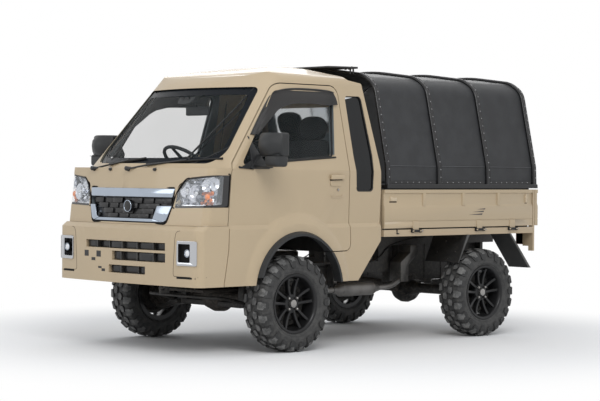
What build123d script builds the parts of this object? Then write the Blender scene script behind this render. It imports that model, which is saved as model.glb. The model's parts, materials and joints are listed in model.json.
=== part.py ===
"""Lifted kei truck with a raised-roof cab, a drop-side bed and a hooped canopy.

Frame: +Z up, the truck faces -Y, +X is its left side, the origin is on the
ground under the middle of its length. All sizes are millimetres. Side outlines
are given as (y, z) with y counted from the front axle, towards the rear.
"""

import os
from math import atan2, cos, degrees, radians, sin, sqrt, tan

from build123d import *

os.makedirs("parts", exist_ok=True)

# ---------------------------------------------------------------- driving sizes
WHEELBASE = 1900.0
FRONT_OVERHANG = 835.0
REAR_OVERHANG = 660.0
BODY_HALF = 737.5
HALF_TRACK = 700.0
TYRE_R = 318.0
TYRE_W = 205.0
RIM_R = 195.0
WALL = 45.0
GAP = 6.5
SEAM = 1.0
GLASS = 5.0

LENGTH = FRONT_OVERHANG + WHEELBASE + REAR_OVERHANG
AXLE_Y = FRONT_OVERHANG - LENGTH / 2
REAR_AXLE_Y = AXLE_Y + WHEELBASE
FAR = 3000.0

# ---------------------------------------------------------------- cab levels
SILL_Z = 448.0
BUMPER_TOP_Z = 805.0
NOSE_Z = 834.0
BELT_Z = 1195.0
LOFT_TOP_Z = 1960.0
ROOF_Z = 1918.0
ROOF_EDGE_Z = 1832.0
SIDE_SLOPE = 0.2074
SCREEN_SLOPE = 0.866
NOSE_LEAN = 0.128
DRIP_Z = 1776.0
FLOOR_Z = 550.0
DECK_Z = 800.0
SHEET = 36.0

# plan sections of the cab, each: z, front y, front radius, corner radius
BUMPER_PLAN = (SILL_Z - 200, -FRONT_OVERHANG, 7000.0, 66.0)
NOSE_FRONT = -796.0
NOSE_R = 4500.0
NOSE_CORNER = 62.0
SCREEN_FRONT = -722.0
SCREEN_TOP_CORNER = 270.0
SCREEN_BASE_Z = BELT_Z + 8


def at(y):
    """Row y of a place given from the front axle."""
    return AXLE_Y + y


def plan_face(z, front, front_r, corner_r, half, inset, back=1100.0):
    """Plan outline at one height: bowed front, round front corners."""
    w = half - inset
    r = front_r - inset
    tip = at(front) + inset
    shoulder = tip + r - sqrt(r * r - w * w)
    with BuildSketch(Plane.XY.offset(z)) as plan:
        with BuildLine():
            ThreePointArc((-w, shoulder), (0, tip), (w, shoulder))
            Polyline((w, shoulder), (w, at(back)), (-w, at(back)), (-w, shoulder))
        make_face()
        fillet(plan.vertices().group_by(Axis.Y)[0], max(corner_r - inset, 12))
    return plan.sketch


def side_profile(inset):
    """Roof line and back of the cab in the side view, (y, z, corner radius)."""
    rows = [
        (-1150, 100, 0),
        (-1150, 1600, 0),
        (-270, 1762, 40),
        (-120, ROOF_Z - 90, 900),
        (70, ROOF_Z - 46, 1500),
        (340, ROOF_Z - 9, 1500),
        (565, ROOF_Z, 70),
        (645, DRIP_Z + 40, 40),
        (768, DRIP_Z + 20, 12),
        (842, 1250, 250),
        (852, 1080, 250),
        (850, 715, 20),
        (631, SILL_Z, 10),
        (500, 100, 0),
    ]
    with BuildSketch(Plane.YZ) as side:
        with BuildLine():
            FilletPolyline(
                *[(at(y), z) for y, z, _ in rows],
                radius=[r for _, _, r in rows],
                close=True,
            )
        make_face()
        if inset:
            offset(amount=-inset, kind=Kind.INTERSECTION)
    return side.sketch


def half_width(z):
    """Half width of the cab's side at one height."""
    return BODY_HALF - max(0.0, z - BELT_Z) * SIDE_SLOPE


def cross_section(inset):
    """Front view outline of the cab with its tapered sides and crowned roof."""
    rows = [
        (BODY_HALF, 60, 0),
        (BODY_HALF, BELT_Z, 60),
        (half_width(ROOF_EDGE_Z), ROOF_EDGE_Z, 78),
    ]
    with BuildSketch(Plane.XZ) as section:
        with BuildLine():
            FilletPolyline(
                *[(x, z) for x, z, _ in rows],
                (0, ROOF_Z + 32),
                *[(-x, z) for x, z, _ in reversed(rows)],
                radius=[r for _, _, r in rows] + [1600] + [r for _, _, r in reversed(rows)],
                close=True,
            )
        make_face()
        if inset:
            offset(amount=-inset, kind=Kind.INTERSECTION)
    return section.sketch


def nose_solid(inset):
    """Leaning nose between bumper and windscreen, cut level at its top."""
    lean = atan2(NOSE_LEAN, 1)
    w = BODY_HALF + 1 - inset
    r = NOSE_R - inset
    shoulder = inset + r - sqrt(r * r - w * w)
    foot = Plane(origin=(0, at(NOSE_FRONT), NOSE_Z), x_dir=(1, 0, 0), z_dir=(0, sin(lean), cos(lean)))
    with BuildPart() as nose:
        with BuildSketch(foot) as plan:
            with BuildLine():
                ThreePointArc((-w, shoulder), (0, inset), (w, shoulder))
                Polyline((w, shoulder), (w, 1950), (-w, 1950), (-w, shoulder))
            make_face()
            fillet(plan.vertices().sort_by(Axis.X)[0:2].sort_by(Axis.Y)[0:1], max(NOSE_CORNER - inset, 12))
            fillet(plan.vertices().sort_by(Axis.X)[-2:].sort_by(Axis.Y)[0:1], max(NOSE_CORNER - inset, 12))
        extrude(amount=FAR / 3)
        with Locations((0, 0, SCREEN_BASE_Z + FAR / 2)):
            Box(2 * FAR, 2 * FAR, FAR, mode=Mode.SUBTRACT)
    return nose.part


def cab_hull(inset):
    """Solid inside the cab's surface, drawn in by the inset and open below."""
    with BuildPart() as hull:
        z, front, front_r, corner_r = BUMPER_PLAN
        extrude(plan_face(z, front, front_r, corner_r, BODY_HALF + 1, inset), amount=BUMPER_TOP_Z - z)
        ledge = NOSE_Z - BUMPER_TOP_Z
        step = NOSE_FRONT + FRONT_OVERHANG
        slant = sqrt(ledge**2 + step**2)
        extrude(
            plan_face(BUMPER_TOP_Z, front, front_r, corner_r, BODY_HALF + 1, inset),
            amount=slant,
            dir=(0, step / slant, ledge / slant),
        )
        add(nose_solid(inset))
        base = SCREEN_BASE_Z
        top_front = SCREEN_FRONT + (LOFT_TOP_Z - base) * SCREEN_SLOPE
        low = plan_face(base, SCREEN_FRONT, 1500.0, 90.0, half_width(base) + 4, inset)
        high = plan_face(LOFT_TOP_Z, top_front, 1500.0, SCREEN_TOP_CORNER, half_width(LOFT_TOP_Z) + 4, inset)
        loft(sections=[low, high], ruled=True)
        extrude(side_profile(inset), amount=FAR / 2, both=True, mode=Mode.INTERSECT)
        extrude(cross_section(inset), amount=FAR, both=True, mode=Mode.INTERSECT)
    return hull.part


def side_prism(rows, grow=0.0, near=250.0, far=1100.0):
    """Prism over a side-view outline (y, z, radius), on the left of the truck."""
    with BuildPart() as prism:
        with BuildSketch(Plane.YZ.offset(near)):
            with BuildLine():
                FilletPolyline(
                    *[(at(y), z) for y, z, _ in rows],
                    radius=[r for _, _, r in rows],
                    close=True,
                )
            make_face()
            if grow:
                offset(amount=grow, kind=Kind.ARC if grow > 0 else Kind.INTERSECTION)
        extrude(amount=far - near)
    return prism.part


def front_prism(rows, low, high):
    """Prism over a symmetric front-view outline (x, z, radius) from y low to high."""
    with BuildPart() as prism:
        with BuildSketch(Plane.XZ.offset(-at(high))):
            with BuildLine():
                FilletPolyline(
                    *[(x, z) for x, z, _ in rows],
                    *[(-x, z) for x, z, _ in reversed(rows)],
                    radius=[r for _, _, r in rows] + [r for _, _, r in reversed(rows)],
                    close=True,
                )
            make_face()
        extrude(amount=high - low)
    return prism.part


def block(x, y, z):
    """Box from low to high along each axis, y counted from the front axle."""
    with BuildPart() as box:
        with Locations(((x[0] + x[1]) / 2, at((y[0] + y[1]) / 2), (z[0] + z[1]) / 2)):
            Box(x[1] - x[0], y[1] - y[0], z[1] - z[0])
    return box.part


def arch_disc(radius, near, far):
    """Disc across the front wheel arch, on the left of the truck."""
    with BuildPart() as disc:
        with BuildSketch(Plane.YZ.offset(near)):
            with Locations((at(ARCH_Y), ARCH_Z)):
                Circle(radius)
        extrude(amount=far - near)
    return disc.part


# ---------------------------------------------------------------- side outlines
ARCH_Y = 65.0
ARCH_Z = 400.0
ARCH_R = 392.0
CREST_R = 480.0
CREST_OUT = 17.0

DOOR = [
    (-584, SILL_Z, 10),
    (-545, 680, 200),
    (-528, 1171, 60),
    (-500, 1236, 40),
    (-48, DRIP_Z - 9, 120),
    (520, DRIP_Z - 9, 70),
    (552, 655, 45),
    (300, 655, 0),
    (300, SILL_Z, 0),
]
WINDOW = [
    (-440, 1222, 18),
    (-62, 1722, 70),
    (482, 1726, 32),
    (412, 1288, 28),
    (-60, 1256, 300),
]
QUARTER_WINDOW = [
    (587, 1704, 24),
    (746, 1706, 32),
    (782, 1300, 400),
    (772, 1056, 34),
    (614, 1056, 26),
    (594, 1300, 400),
]
SCREEN_BORDER = (75.0, 69.0)
SCREEN = [
    (half_width(1232) - SCREEN_BORDER[0], 1232, 95),
    (half_width(1742) - SCREEN_BORDER[1], 1742, 45),
]
REAR_WINDOW = [
    (half_width(1180) - 237, 1180, 60),
    (half_width(1640) - 175, 1640, 60),
]

outer = cab_hull(0.0)
inner = cab_hull(WALL)
with BuildPart() as shell_builder:
    add(outer)
    add(inner, mode=Mode.SUBTRACT)
    with Locations((0, 0, SILL_Z - 500)):
        Box(2 * FAR, 2 * FAR, 1000, mode=Mode.SUBTRACT)
cab_shell = shell_builder.part


def both_sides(solid):
    """The solid and its mirror image."""
    with BuildPart() as pair:
        add(solid)
        mirror(solid, about=Plane.YZ)
    return pair.part


def skin(depth, thickness):
    """Thin layer of the cab at one depth, as its glass follows the surface."""
    with BuildPart() as layer:
        add(cab_hull(depth))
        add(cab_hull(depth + thickness), mode=Mode.SUBTRACT)
    return layer.part


glass_skin = skin(14.0, GLASS)

# ---------------------------------------------------------------- doors
arch_cut = arch_disc(ARCH_R, 300, 1100)
with BuildPart() as crest_builder:
    with BuildSketch(Plane.YZ.offset(BODY_HALF - 3)):
        with Locations((at(ARCH_Y + 5), ARCH_Z + 26)):
            Circle(CREST_R)
    with BuildSketch(Plane.YZ.offset(BODY_HALF + CREST_OUT)):
        with Locations((at(ARCH_Y + 3), ARCH_Z + 12)):
            Circle(CREST_R - 50)
    loft(ruled=True)
    add(arch_disc(ARCH_R, 300, 1100), mode=Mode.SUBTRACT)
    with Locations((0, 0, SILL_Z - 500)):
        Box(2 * FAR, 2 * FAR, 1000, mode=Mode.SUBTRACT)
crest = crest_builder.part

with BuildPart() as door_left_shell:
    add(cab_shell)
    add(crest)
    add(side_prism(DOOR), mode=Mode.INTERSECT)
    add(side_prism(WINDOW), mode=Mode.SUBTRACT)
    add(arch_cut, mode=Mode.SUBTRACT)

with BuildPart() as door_left_glass:
    add(glass_skin)
    add(side_prism(WINDOW), mode=Mode.INTERSECT)

# door mirror: a triangular foot on the door, an arm and a deep head
MIRROR_X = (BODY_HALF + 62.5, BODY_HALF + 247.5)
MIRROR_ARM_Z = (1205.0, 1245.0)
MIRROR_Y = (-300.0, -205.0)
MIRROR_Z = (1228.0, 1428.0)
with BuildPart() as mirror_left:
    with Locations(
        (
            sum(MIRROR_X) / 2,
            at(sum(MIRROR_Y) / 2),
            sum(MIRROR_Z) / 2,
        )
    ):
        Box(MIRROR_X[1] - MIRROR_X[0], MIRROR_Y[1] - MIRROR_Y[0], MIRROR_Z[1] - MIRROR_Z[0])
    fillet(mirror_left.edges(), 28)
    add(block((BODY_HALF - 47, MIRROR_X[0] + 30), (MIRROR_Y[0] + 15, MIRROR_Y[1] - 30), MIRROR_ARM_Z))
    foot_x = BODY_HALF - 47
    with BuildSketch(Plane.YZ.offset(foot_x)):
        with BuildLine():
            FilletPolyline(
                (at(MIRROR_Y[0] - 75), MIRROR_ARM_Z[0] - 8),
                (at(MIRROR_Y[1] + 12), MIRROR_ARM_Z[0] - 8),
                (at(MIRROR_Y[1] + 12), MIRROR_ARM_Z[1] + 60),
                (at(MIRROR_Y[0] + 20), MIRROR_ARM_Z[1] + 60),
                radius=[8, 8, 8, 8],
                close=True,
            )
        make_face()
    extrude(amount=MIRROR_X[0] - 38 - foot_x)
    add(outer, mode=Mode.SUBTRACT)

# ---------------------------------------------------------------- cab panels
door_hole = both_sides(side_prism(DOOR, GAP, 250.0, 1100.0))
arch_hole = both_sides(arch_cut)


def band_prism(rows, low, high):
    """Prism over one closed front-view outline (x, z, radius) from y low to high."""
    with BuildPart() as prism:
        with BuildSketch(Plane.XZ.offset(-at(high))):
            with BuildLine():
                FilletPolyline(
                    *[(x, z) for x, z, _ in rows],
                    radius=[r for _, _, r in rows],
                    close=True,
                )
            make_face()
        extrude(amount=high - low)
    return prism.part


LAMP_IN = BODY_HALF - 289.5
GRILLE_HALF = LAMP_IN - 15.0
FOG_OUT = BODY_HALF - 31.5
FOG_IN = FOG_OUT - 161.0
FOG_RIM = 17.0
SLOT_HALF = FOG_IN - 111.0
HEADLAMP = [
    (LAMP_IN, 945, 12),
    (LAMP_IN + 14, 1096, 40),
    (LAMP_IN + 112, 1142, 90),
    (BODY_HALF + 162, 1172, 0),
    (BODY_HALF + 162, 956, 0),
]
GRILLE = [  # x, z, corner radius
    (GRILLE_HALF - 5, 1070, 14),
    (GRILLE_HALF, 985, 60),
    (GRILLE_HALF - 48, 845, 40),
]
FOG = [
    (FOG_IN, 583, 16),
    (FOG_IN, 741, 16),
    (FOG_OUT, 741, 16),
    (FOG_OUT, 583, 16),
]
SLOT_ROWS = [  # z low, z high, x low, x high
    (672, 722, -SLOT_HALF + 40, SLOT_HALF - 2),
    (596, 656, -SLOT_HALF + 333, SLOT_HALF),
    (512, 564, -SLOT_HALF + 298, SLOT_HALF - 192),
]
lamp_prism = both_sides(band_prism(HEADLAMP, -1100, -400))
grille_prism = front_prism(GRILLE, -1100, -600)
fog_prism = both_sides(band_prism(FOG, -1100, -600))

with BuildPart() as front_bumper:
    add(cab_shell)
    add(block((-900, 900), (-1200, -400), (100, NOSE_Z - SEAM)), mode=Mode.INTERSECT)
    add(door_hole, mode=Mode.SUBTRACT)
    add(arch_hole, mode=Mode.SUBTRACT)
    add(fog_prism, mode=Mode.SUBTRACT)
    for z_low, z_high, x_low, x_high in SLOT_ROWS:
        add(block((x_low, x_high), (-1200, -600), (z_low, z_high)), mode=Mode.SUBTRACT)

with BuildPart() as nose_panel:
    add(cab_shell)
    add(block((-900, 900), (-1200, -300), (NOSE_Z, BELT_Z + 12)), mode=Mode.INTERSECT)
    add(grille_prism, mode=Mode.SUBTRACT)
    add(lamp_prism, mode=Mode.SUBTRACT)
    add(door_hole, mode=Mode.SUBTRACT)

lamp_skin_low = cab_hull(2.0)
lamp_skin_deep = cab_hull(38.0)
with BuildPart() as headlamps:
    add(lamp_skin_low)
    add(lamp_skin_deep, mode=Mode.SUBTRACT)
    add(lamp_prism, mode=Mode.INTERSECT)
    add(block((-900, 900), (-1200, -400), (800, 1200)), mode=Mode.INTERSECT)
    add(door_hole, mode=Mode.SUBTRACT)

grille_hole_rows = [
    (GRILLE_HALF - 33, 1030, 10),
    (GRILLE_HALF - 29, 985, 40),
    (GRILLE_HALF - 81, 884, 30),
]
grille_core = front_prism(grille_hole_rows, -1100, -600)
with BuildPart() as grille_trim:
    add(cab_hull(-6.0))
    add(cab_hull(30.0), mode=Mode.SUBTRACT)
    add(grille_prism, mode=Mode.INTERSECT)
    add(grille_core, mode=Mode.SUBTRACT)

with BuildPart() as grille_builder:
    add(cab_hull(12.0))
    add(lamp_skin_deep, mode=Mode.SUBTRACT)
grille_layer = grille_builder.part
with BuildPart() as grille:
    add(grille_layer)
    with BuildPart(mode=Mode.PRIVATE) as slots:
        add(grille_core)
        for z_low, z_high, x_low, x_high in SLOT_ROWS:
            add(block((x_low, x_high), (-1200, -600), (z_low, z_high)))
    add(slots.part, mode=Mode.INTERSECT)

fog_core_rows = [
    (FOG_IN + FOG_RIM, 583 + FOG_RIM, 10),
    (FOG_IN + FOG_RIM, 741 - FOG_RIM, 10),
    (FOG_OUT - FOG_RIM, 741 - FOG_RIM, 10),
    (FOG_OUT - FOG_RIM, 583 + FOG_RIM, 10),
]
fog_core = both_sides(band_prism(fog_core_rows, -1100, -600))
with BuildPart() as fog_lamps:
    add(cab_hull(-9.0))
    add(inner, mode=Mode.SUBTRACT)
    add(fog_prism, mode=Mode.INTERSECT)
    add(block((-900, 900), (-1200, -500), (500, 770)), mode=Mode.INTERSECT)
    with BuildPart(mode=Mode.PRIVATE) as recess:
        add(cab_hull(32.0))
    cavity = fog_core - recess.part
    add(cavity, mode=Mode.SUBTRACT)

QUARTER_LOW = [
    (300, 100, 0),
    (300, 650, 0),
    (500, 650, 0),
    (500, DRIP_Z, 0),
    (1000, DRIP_Z, 0),
    (1000, 100, 0),
]
back_core = front_prism([(half_width(z) - WALL, z, 0) for z in (100, BELT_Z, 2100)], 400, 1000)
with BuildPart() as cab_sides:
    add(cab_shell)
    add(both_sides(crest))
    add(both_sides(side_prism(QUARTER_LOW)), mode=Mode.INTERSECT)
    add(door_hole, mode=Mode.SUBTRACT)
    add(arch_hole, mode=Mode.SUBTRACT)
    add(back_core, mode=Mode.SUBTRACT)
    add(both_sides(side_prism(QUARTER_WINDOW)), mode=Mode.SUBTRACT)

rear_window_prism = front_prism(REAR_WINDOW, 600, 1000)
with BuildPart() as cab_back:
    add(cab_shell)
    add(back_core, mode=Mode.INTERSECT)
    add(block((-900, 900), (600, 1000), (640, DRIP_Z)), mode=Mode.INTERSECT)
    add(rear_window_prism, mode=Mode.SUBTRACT)

screen_prism = front_prism(SCREEN, -900, 100)
with BuildPart() as roof:
    add(cab_shell)
    add(block((-900, 900), (-1200, 1000), (BELT_Z + 12, 2000)), mode=Mode.INTERSECT)
    add(door_hole, mode=Mode.SUBTRACT)
    add(block((-900, 900), (500, 1000), (1000, DRIP_Z)), mode=Mode.SUBTRACT)
    add(screen_prism, mode=Mode.SUBTRACT)

with BuildPart() as windscreen:
    add(glass_skin)
    add(screen_prism, mode=Mode.INTERSECT)

with BuildPart() as cab_windows:
    add(glass_skin)
    window_cut = both_sides(side_prism(QUARTER_WINDOW)) + rear_window_prism
    add(window_cut, mode=Mode.INTERSECT)

# ---------------------------------------------------------------- cab inside
FLOOR_HALF = BODY_HALF - 57.5
with BuildPart() as cab_floor:
    add(block((-600, 600), (-700, -700 + SHEET), (FLOOR_Z, 900)))
    add(block((-600, 600), (-850, -700), (900 - SHEET, 900)))
    add(block((-660, 660), (-700, -400), (FLOOR_Z, FLOOR_Z + SHEET)))
    add(block((-FLOOR_HALF, FLOOR_HALF), (-400, -400 + SHEET), (FLOOR_Z, DECK_Z + SHEET)))
    add(block((-FLOOR_HALF, FLOOR_HALF), (-400, 500), (DECK_Z, DECK_Z + SHEET)))
    add(block((-FLOOR_HALF, FLOOR_HALF), (500 - SHEET, 500), (640, DECK_Z + SHEET)))
    add(block((-FLOOR_HALF, FLOOR_HALF), (500 - SHEET, 560), (640, 640 + SHEET)))
    add(block((-BODY_HALF, BODY_HALF), (560, 850), (640, 640 + SHEET)))
    add(inner, mode=Mode.INTERSECT)

with BuildPart() as dashboard:
    add(block((-600, 600), (-700 + SHEET, -440), (880, 1165)))
    fillet(dashboard.edges().filter_by(Axis.X), 45)

SEAT_X = 330.0
with BuildPart() as seats:
    for side in (-1, 1):
        add(block((side * SEAT_X - 235, side * SEAT_X + 235), (-90, 420), (DECK_Z + SHEET, 960)))
        with BuildSketch(Plane.YZ.offset(side * SEAT_X - 225)):
            with BuildLine():
                Polyline(
                    (at(400), 930), (at(520), 1400), (at(610), 1400), (at(500), 930), (at(400), 930)
                )
            make_face()
        extrude(amount=450)
        add(block((side * SEAT_X - 120, side * SEAT_X + 120), (525, 625), (1415, 1570)))
        add(block((side * SEAT_X - 50, side * SEAT_X + 50), (560, 580), (1390, 1420)))

WHEEL_TILT = 38.0
STEER_CENTRE = (-SEAT_X, at(-10), 1245)
with BuildPart() as steering_wheel:
    with BuildSketch(Plane(origin=STEER_CENTRE, x_dir=(1, 0, 0), z_dir=(0, sin(radians(WHEEL_TILT)), cos(radians(WHEEL_TILT))))):
        Circle(185)
        Circle(158, mode=Mode.SUBTRACT)
        Circle(52)
        Rectangle(330, 30)
        with Locations((0, -85)):
            Rectangle(30, 150)
    extrude(amount=11, both=True)
    with BuildSketch(Plane(origin=STEER_CENTRE, x_dir=(1, 0, 0), z_dir=(0, sin(radians(WHEEL_TILT)), cos(radians(WHEEL_TILT))))):
        Circle(26)
    extrude(amount=-600)
    add(block((-600, 600), (-900, 100), (0, DECK_Z + SHEET)), mode=Mode.SUBTRACT)

# ---------------------------------------------------------------- flares
FLARE_X = (700.0, 752.0, 782.0)
FLARE_OUT_R = 378.0
FLARE_IN_R = (374.0, 361.0)
FLARE_LOW_Z = 499.0


def arch_circle(x, radius):
    """Circle of the front wheel arch at one distance from the middle plane."""
    with BuildSketch(Plane.YZ.offset(x)) as circle:
        with Locations((at(ARCH_Y), ARCH_Z)):
            Circle(radius)
    return circle.sketch


with BuildPart() as flare_ring:
    extrude(arch_circle(FLARE_X[0], ARCH_R), amount=FLARE_X[1] - FLARE_X[0])
    loft(sections=[arch_circle(FLARE_X[1], ARCH_R), arch_circle(FLARE_X[2], FLARE_OUT_R)], ruled=True)
    reach = 20.0
    slope = (FLARE_IN_R[1] - FLARE_IN_R[0]) / (FLARE_X[2] - FLARE_X[0])
    loft(
        sections=[
            arch_circle(FLARE_X[0] - reach, FLARE_IN_R[0] - reach * slope),
            arch_circle(FLARE_X[2] + reach, FLARE_IN_R[1] + reach * slope),
        ],
        ruled=True,
        mode=Mode.SUBTRACT,
    )
    add(block((600, 900), (-600, ARCH_Y), (-200, FLARE_LOW_Z)), mode=Mode.SUBTRACT)
    add(block((600, 900), (ARCH_Y, 600), (-200, SILL_Z)), mode=Mode.SUBTRACT)

with BuildPart() as door_left_flare:
    add(flare_ring.part)
    add(side_prism(DOOR), mode=Mode.INTERSECT)

with BuildPart() as sill_flares:
    add(both_sides(flare_ring.part))
    add(door_hole, mode=Mode.SUBTRACT)

# ---------------------------------------------------------------- chassis
RAIL_X = (300.0, 360.0)
LOW_RAIL_Z = (470.0, 550.0)
HIGH_RAIL_Z = (660.0, 740.0)
BED_FRONT = 880.0
BED_REAR = WHEELBASE + REAR_OVERHANG
KICK_Y = (1220.0, 1320.0)
PLATE_HALF = 165.0
PLATE_PITCH = 210.0
PLATE_Z = 610.0
PLATE_HOLE_R = 3.5
TOW_X = 320.0
TOW_T = 14.0
TOW_R = 16.0
TOW_Y = -758.0
TOW_Z = 430.0
CROSS_W = 60.0
with BuildPart() as frame_rails:
    for side in (1, -1):
        x = sorted((side * RAIL_X[0], side * RAIL_X[1]))
        add(block(x, (-800, KICK_Y[1]), LOW_RAIL_Z))
        add(block(x, KICK_Y, (LOW_RAIL_Z[0], HIGH_RAIL_Z[1])))
        add(block(x, (KICK_Y[0], BED_REAR - 70), HIGH_RAIL_Z))
    add(front_bumper.part, mode=Mode.SUBTRACT)
    add(block((TOW_X, TOW_X + TOW_T), (TOW_Y - 17, TOW_Y + 58), (395, LOW_RAIL_Z[0])))
    with BuildSketch(Plane.YZ.offset(TOW_X - 5)):
        with Locations((at(TOW_Y), TOW_Z)):
            Circle(TOW_R)
    extrude(amount=TOW_T + 10, mode=Mode.SUBTRACT)

with BuildPart() as cross_members:
    for y in (-640, 480):
        add(block((-RAIL_X[0], RAIL_X[0]), (y, y + CROSS_W), LOW_RAIL_Z))
    for y in (KICK_Y[0], (KICK_Y[0] + BED_REAR) / 2, BED_REAR - 70 - CROSS_W):
        add(block((-RAIL_X[0], RAIL_X[0]), (y, y + CROSS_W), HIGH_RAIL_Z))
    add(block((-PLATE_HALF, PLATE_HALF), (BED_REAR - 74, BED_REAR - 70), (PLATE_Z - 45, HIGH_RAIL_Z[1])))
    with BuildSketch(Plane.XZ.offset(-at(BED_REAR - 60))):
        with Locations((-PLATE_PITCH / 2, PLATE_Z), (PLATE_PITCH / 2, PLATE_Z)):
            Circle(PLATE_HOLE_R)
    extrude(amount=12, mode=Mode.SUBTRACT)

with BuildPart() as engine_block:
    add(block((-230, 230), (-300, 330), (420, 780)))
    add(block((-RAIL_X[0], RAIL_X[0]), (-40, 40), (480, 540)))

ARM_TIP_X = 664.0
with BuildPart() as front_suspension:
    add(block((-260, 260), (-70, 70), (190, 230)))
    for side in (1, -1):
        x = sorted((side * 240, side * RAIL_X[1]))
        add(block(x, (-70, 70), (190, LOW_RAIL_Z[0])))
        with BuildSketch(Plane.XY.offset(190)):
            with BuildLine():
                Polyline(
                    (side * 350, at(-70)), (side * 350, at(70)), (side * 560, at(28)),
                    (side * ARM_TIP_X, at(28)), (side * ARM_TIP_X, at(-28)), (side * 560, at(-28)), (side * 350, at(-70)),
                )
            make_face()
        extrude(amount=30)

# kingpin axis, from the lower ball joint to the strut's top
KING_LOW = (640.0, 205.0)
KING_HIGH = (495.0, 788.0)
KING_LEAN = degrees(atan2(KING_LOW[0] - KING_HIGH[0], KING_HIGH[1] - KING_LOW[1]))
BALL_R = 11.0
DISC_R = 88.0
FIT = 0.05
HUB_R = 28.0


def king_plane(height):
    """Plane square to the left kingpin axis, at a height above its ball joint."""
    lean = radians(KING_LEAN)
    return Plane(
        origin=(KING_LOW[0] - height * sin(lean), at(0), KING_LOW[1] + height * cos(lean)),
        x_dir=(0, 1, 0),
        z_dir=(-sin(lean), 0, cos(lean)),
    )


with BuildPart() as ball_hole:
    with BuildSketch(king_plane(-60)):
        Circle(BALL_R + FIT)
    extrude(amount=120)
with BuildPart() as suspension_cut:
    add(front_suspension.part)
    add(both_sides(ball_hole.part), mode=Mode.SUBTRACT)
front_suspension = suspension_cut

with BuildPart() as knuckle_left:
    with BuildSketch(king_plane(-16)):
        Circle(BALL_R)
    extrude(amount=60)
    with BuildSketch(king_plane(26)):
        Circle(26)
    extrude(amount=540)
    with BuildSketch(Plane.YZ.offset(545)):
        with Locations((at(0), TYRE_R)):
            Circle(62)
    extrude(amount=60)
    with BuildSketch(Plane.YZ.offset(600)):
        with Locations((at(0), TYRE_R)):
            Circle(DISC_R)
    extrude(amount=36)
    with BuildSketch(Plane.YZ.offset(630)):
        with Locations((at(0), TYRE_R)):
            Circle(HUB_R)
    extrude(amount=118)

AXLE_TUBE_R = 38.0
with BuildPart() as rear_axle:
    with BuildSketch(Plane.YZ.offset(-600)):
        with Locations((at(WHEELBASE), TYRE_R)):
            Circle(AXLE_TUBE_R)
    extrude(amount=1200)
    with Locations((0, at(WHEELBASE), TYRE_R)):
        Cylinder(115, 150, rotation=(0, 90, 0))
    for side in (1, -1):
        low = 598 if side == 1 else -598 - 38
        with BuildSketch(Plane.YZ.offset(low)):
            with Locations((at(WHEELBASE), TYRE_R)):
                Circle(115)
        extrude(amount=38)
        with BuildSketch(Plane.YZ.offset(630 if side == 1 else -748)):
            with Locations((at(WHEELBASE), TYRE_R)):
                Circle(HUB_R)
        extrude(amount=118)

SPRING_REACH = (460.0, 470.0)
SPRING_T = 36.0
with BuildPart() as rear_springs:
    front_y, rear_y = WHEELBASE - SPRING_REACH[0], WHEELBASE + SPRING_REACH[1]
    low_z = TYRE_R + AXLE_TUBE_R + 0.5
    for side in (1, -1):
        spring_x = sorted((side * (RAIL_X[0] + 1), side * (RAIL_X[1] - 1)))
        with BuildSketch(Plane.YZ.offset(spring_x[0])):
            with BuildLine():
                ThreePointArc((at(front_y), 470), (at(WHEELBASE), low_z), (at(rear_y), 470))
                Line((at(rear_y), 470), (at(rear_y), 500))
                ThreePointArc((at(rear_y), 500), (at(WHEELBASE), low_z + SPRING_T), (at(front_y), 500))
                Line((at(front_y), 500), (at(front_y), 470))
            make_face()
        extrude(amount=RAIL_X[1] - RAIL_X[0] - 2)
        for end_y in (front_y - 10, rear_y - 40):
            add(block(spring_x, (end_y, end_y + 50), (465, HIGH_RAIL_Z[0])))

with BuildPart() as silencer_and_tank:
    with BuildSketch(Plane.XZ.offset(-at(1110))):
        with Locations((460, 366)):
            Circle(49)
    extrude(amount=450)
    add(block((RAIL_X[1], 430), (700, 730), (380, 540)))
    add(block((-640, -RAIL_X[1]), (620, 1120), (380, 600)))

# ---------------------------------------------------------------- wheels
HALF_W = TYRE_W / 2
TYRE_PROFILE = [  # x from the wheel's middle plane, radius
    (-71, 176),
    (-78, RIM_R),
    (-92, 205),
    (-HALF_W, 238),
    (-HALF_W + 4, 288),
    (-HALF_W + 22, 312),
    (-40, TYRE_R),
    (40, TYRE_R),
    (HALF_W - 22, 312),
    (HALF_W - 4, 288),
    (HALF_W, 238),
    (92, 205),
    (78, RIM_R),
    (71, 176),
]
RIM_PROFILE = [
    (-84, 160),
    (-84, RIM_R),
    (-78, RIM_R),
    (-71, 176),
    (71, 176),
    (78, RIM_R),
    (84, RIM_R),
    (84, 184),
    (70, 168),
    (-70, 160),
]
HUB_PROFILE = [
    (-20, HUB_R + FIT),
    (-20, 60),
    (20, 66),
    (64, 66),
    (72, 40),
    (72, 0),
    (60, 0),
    (60, HUB_R + FIT),
]


def revolved(profile, centre_x, side, centre_y):
    """Solid of revolution about a wheel's axle, its profile mirrored by side."""
    with BuildPart() as solid:
        with BuildSketch(Plane.XY.offset(TYRE_R)):
            with BuildLine():
                Polyline(
                    *[(centre_x + side * x, centre_y + r) for x, r in profile],
                    close=True,
                )
            make_face()
        revolve(axis=Axis((0, centre_y, TYRE_R), (1, 0, 0)))
    return solid.part


SPOKES = 5
WHEELS = {
    "front_left": (1, at(0)),
    "front_right": (-1, at(0)),
    "rear_left": (1, at(WHEELBASE)),
    "rear_right": (-1, at(WHEELBASE)),
}


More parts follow.
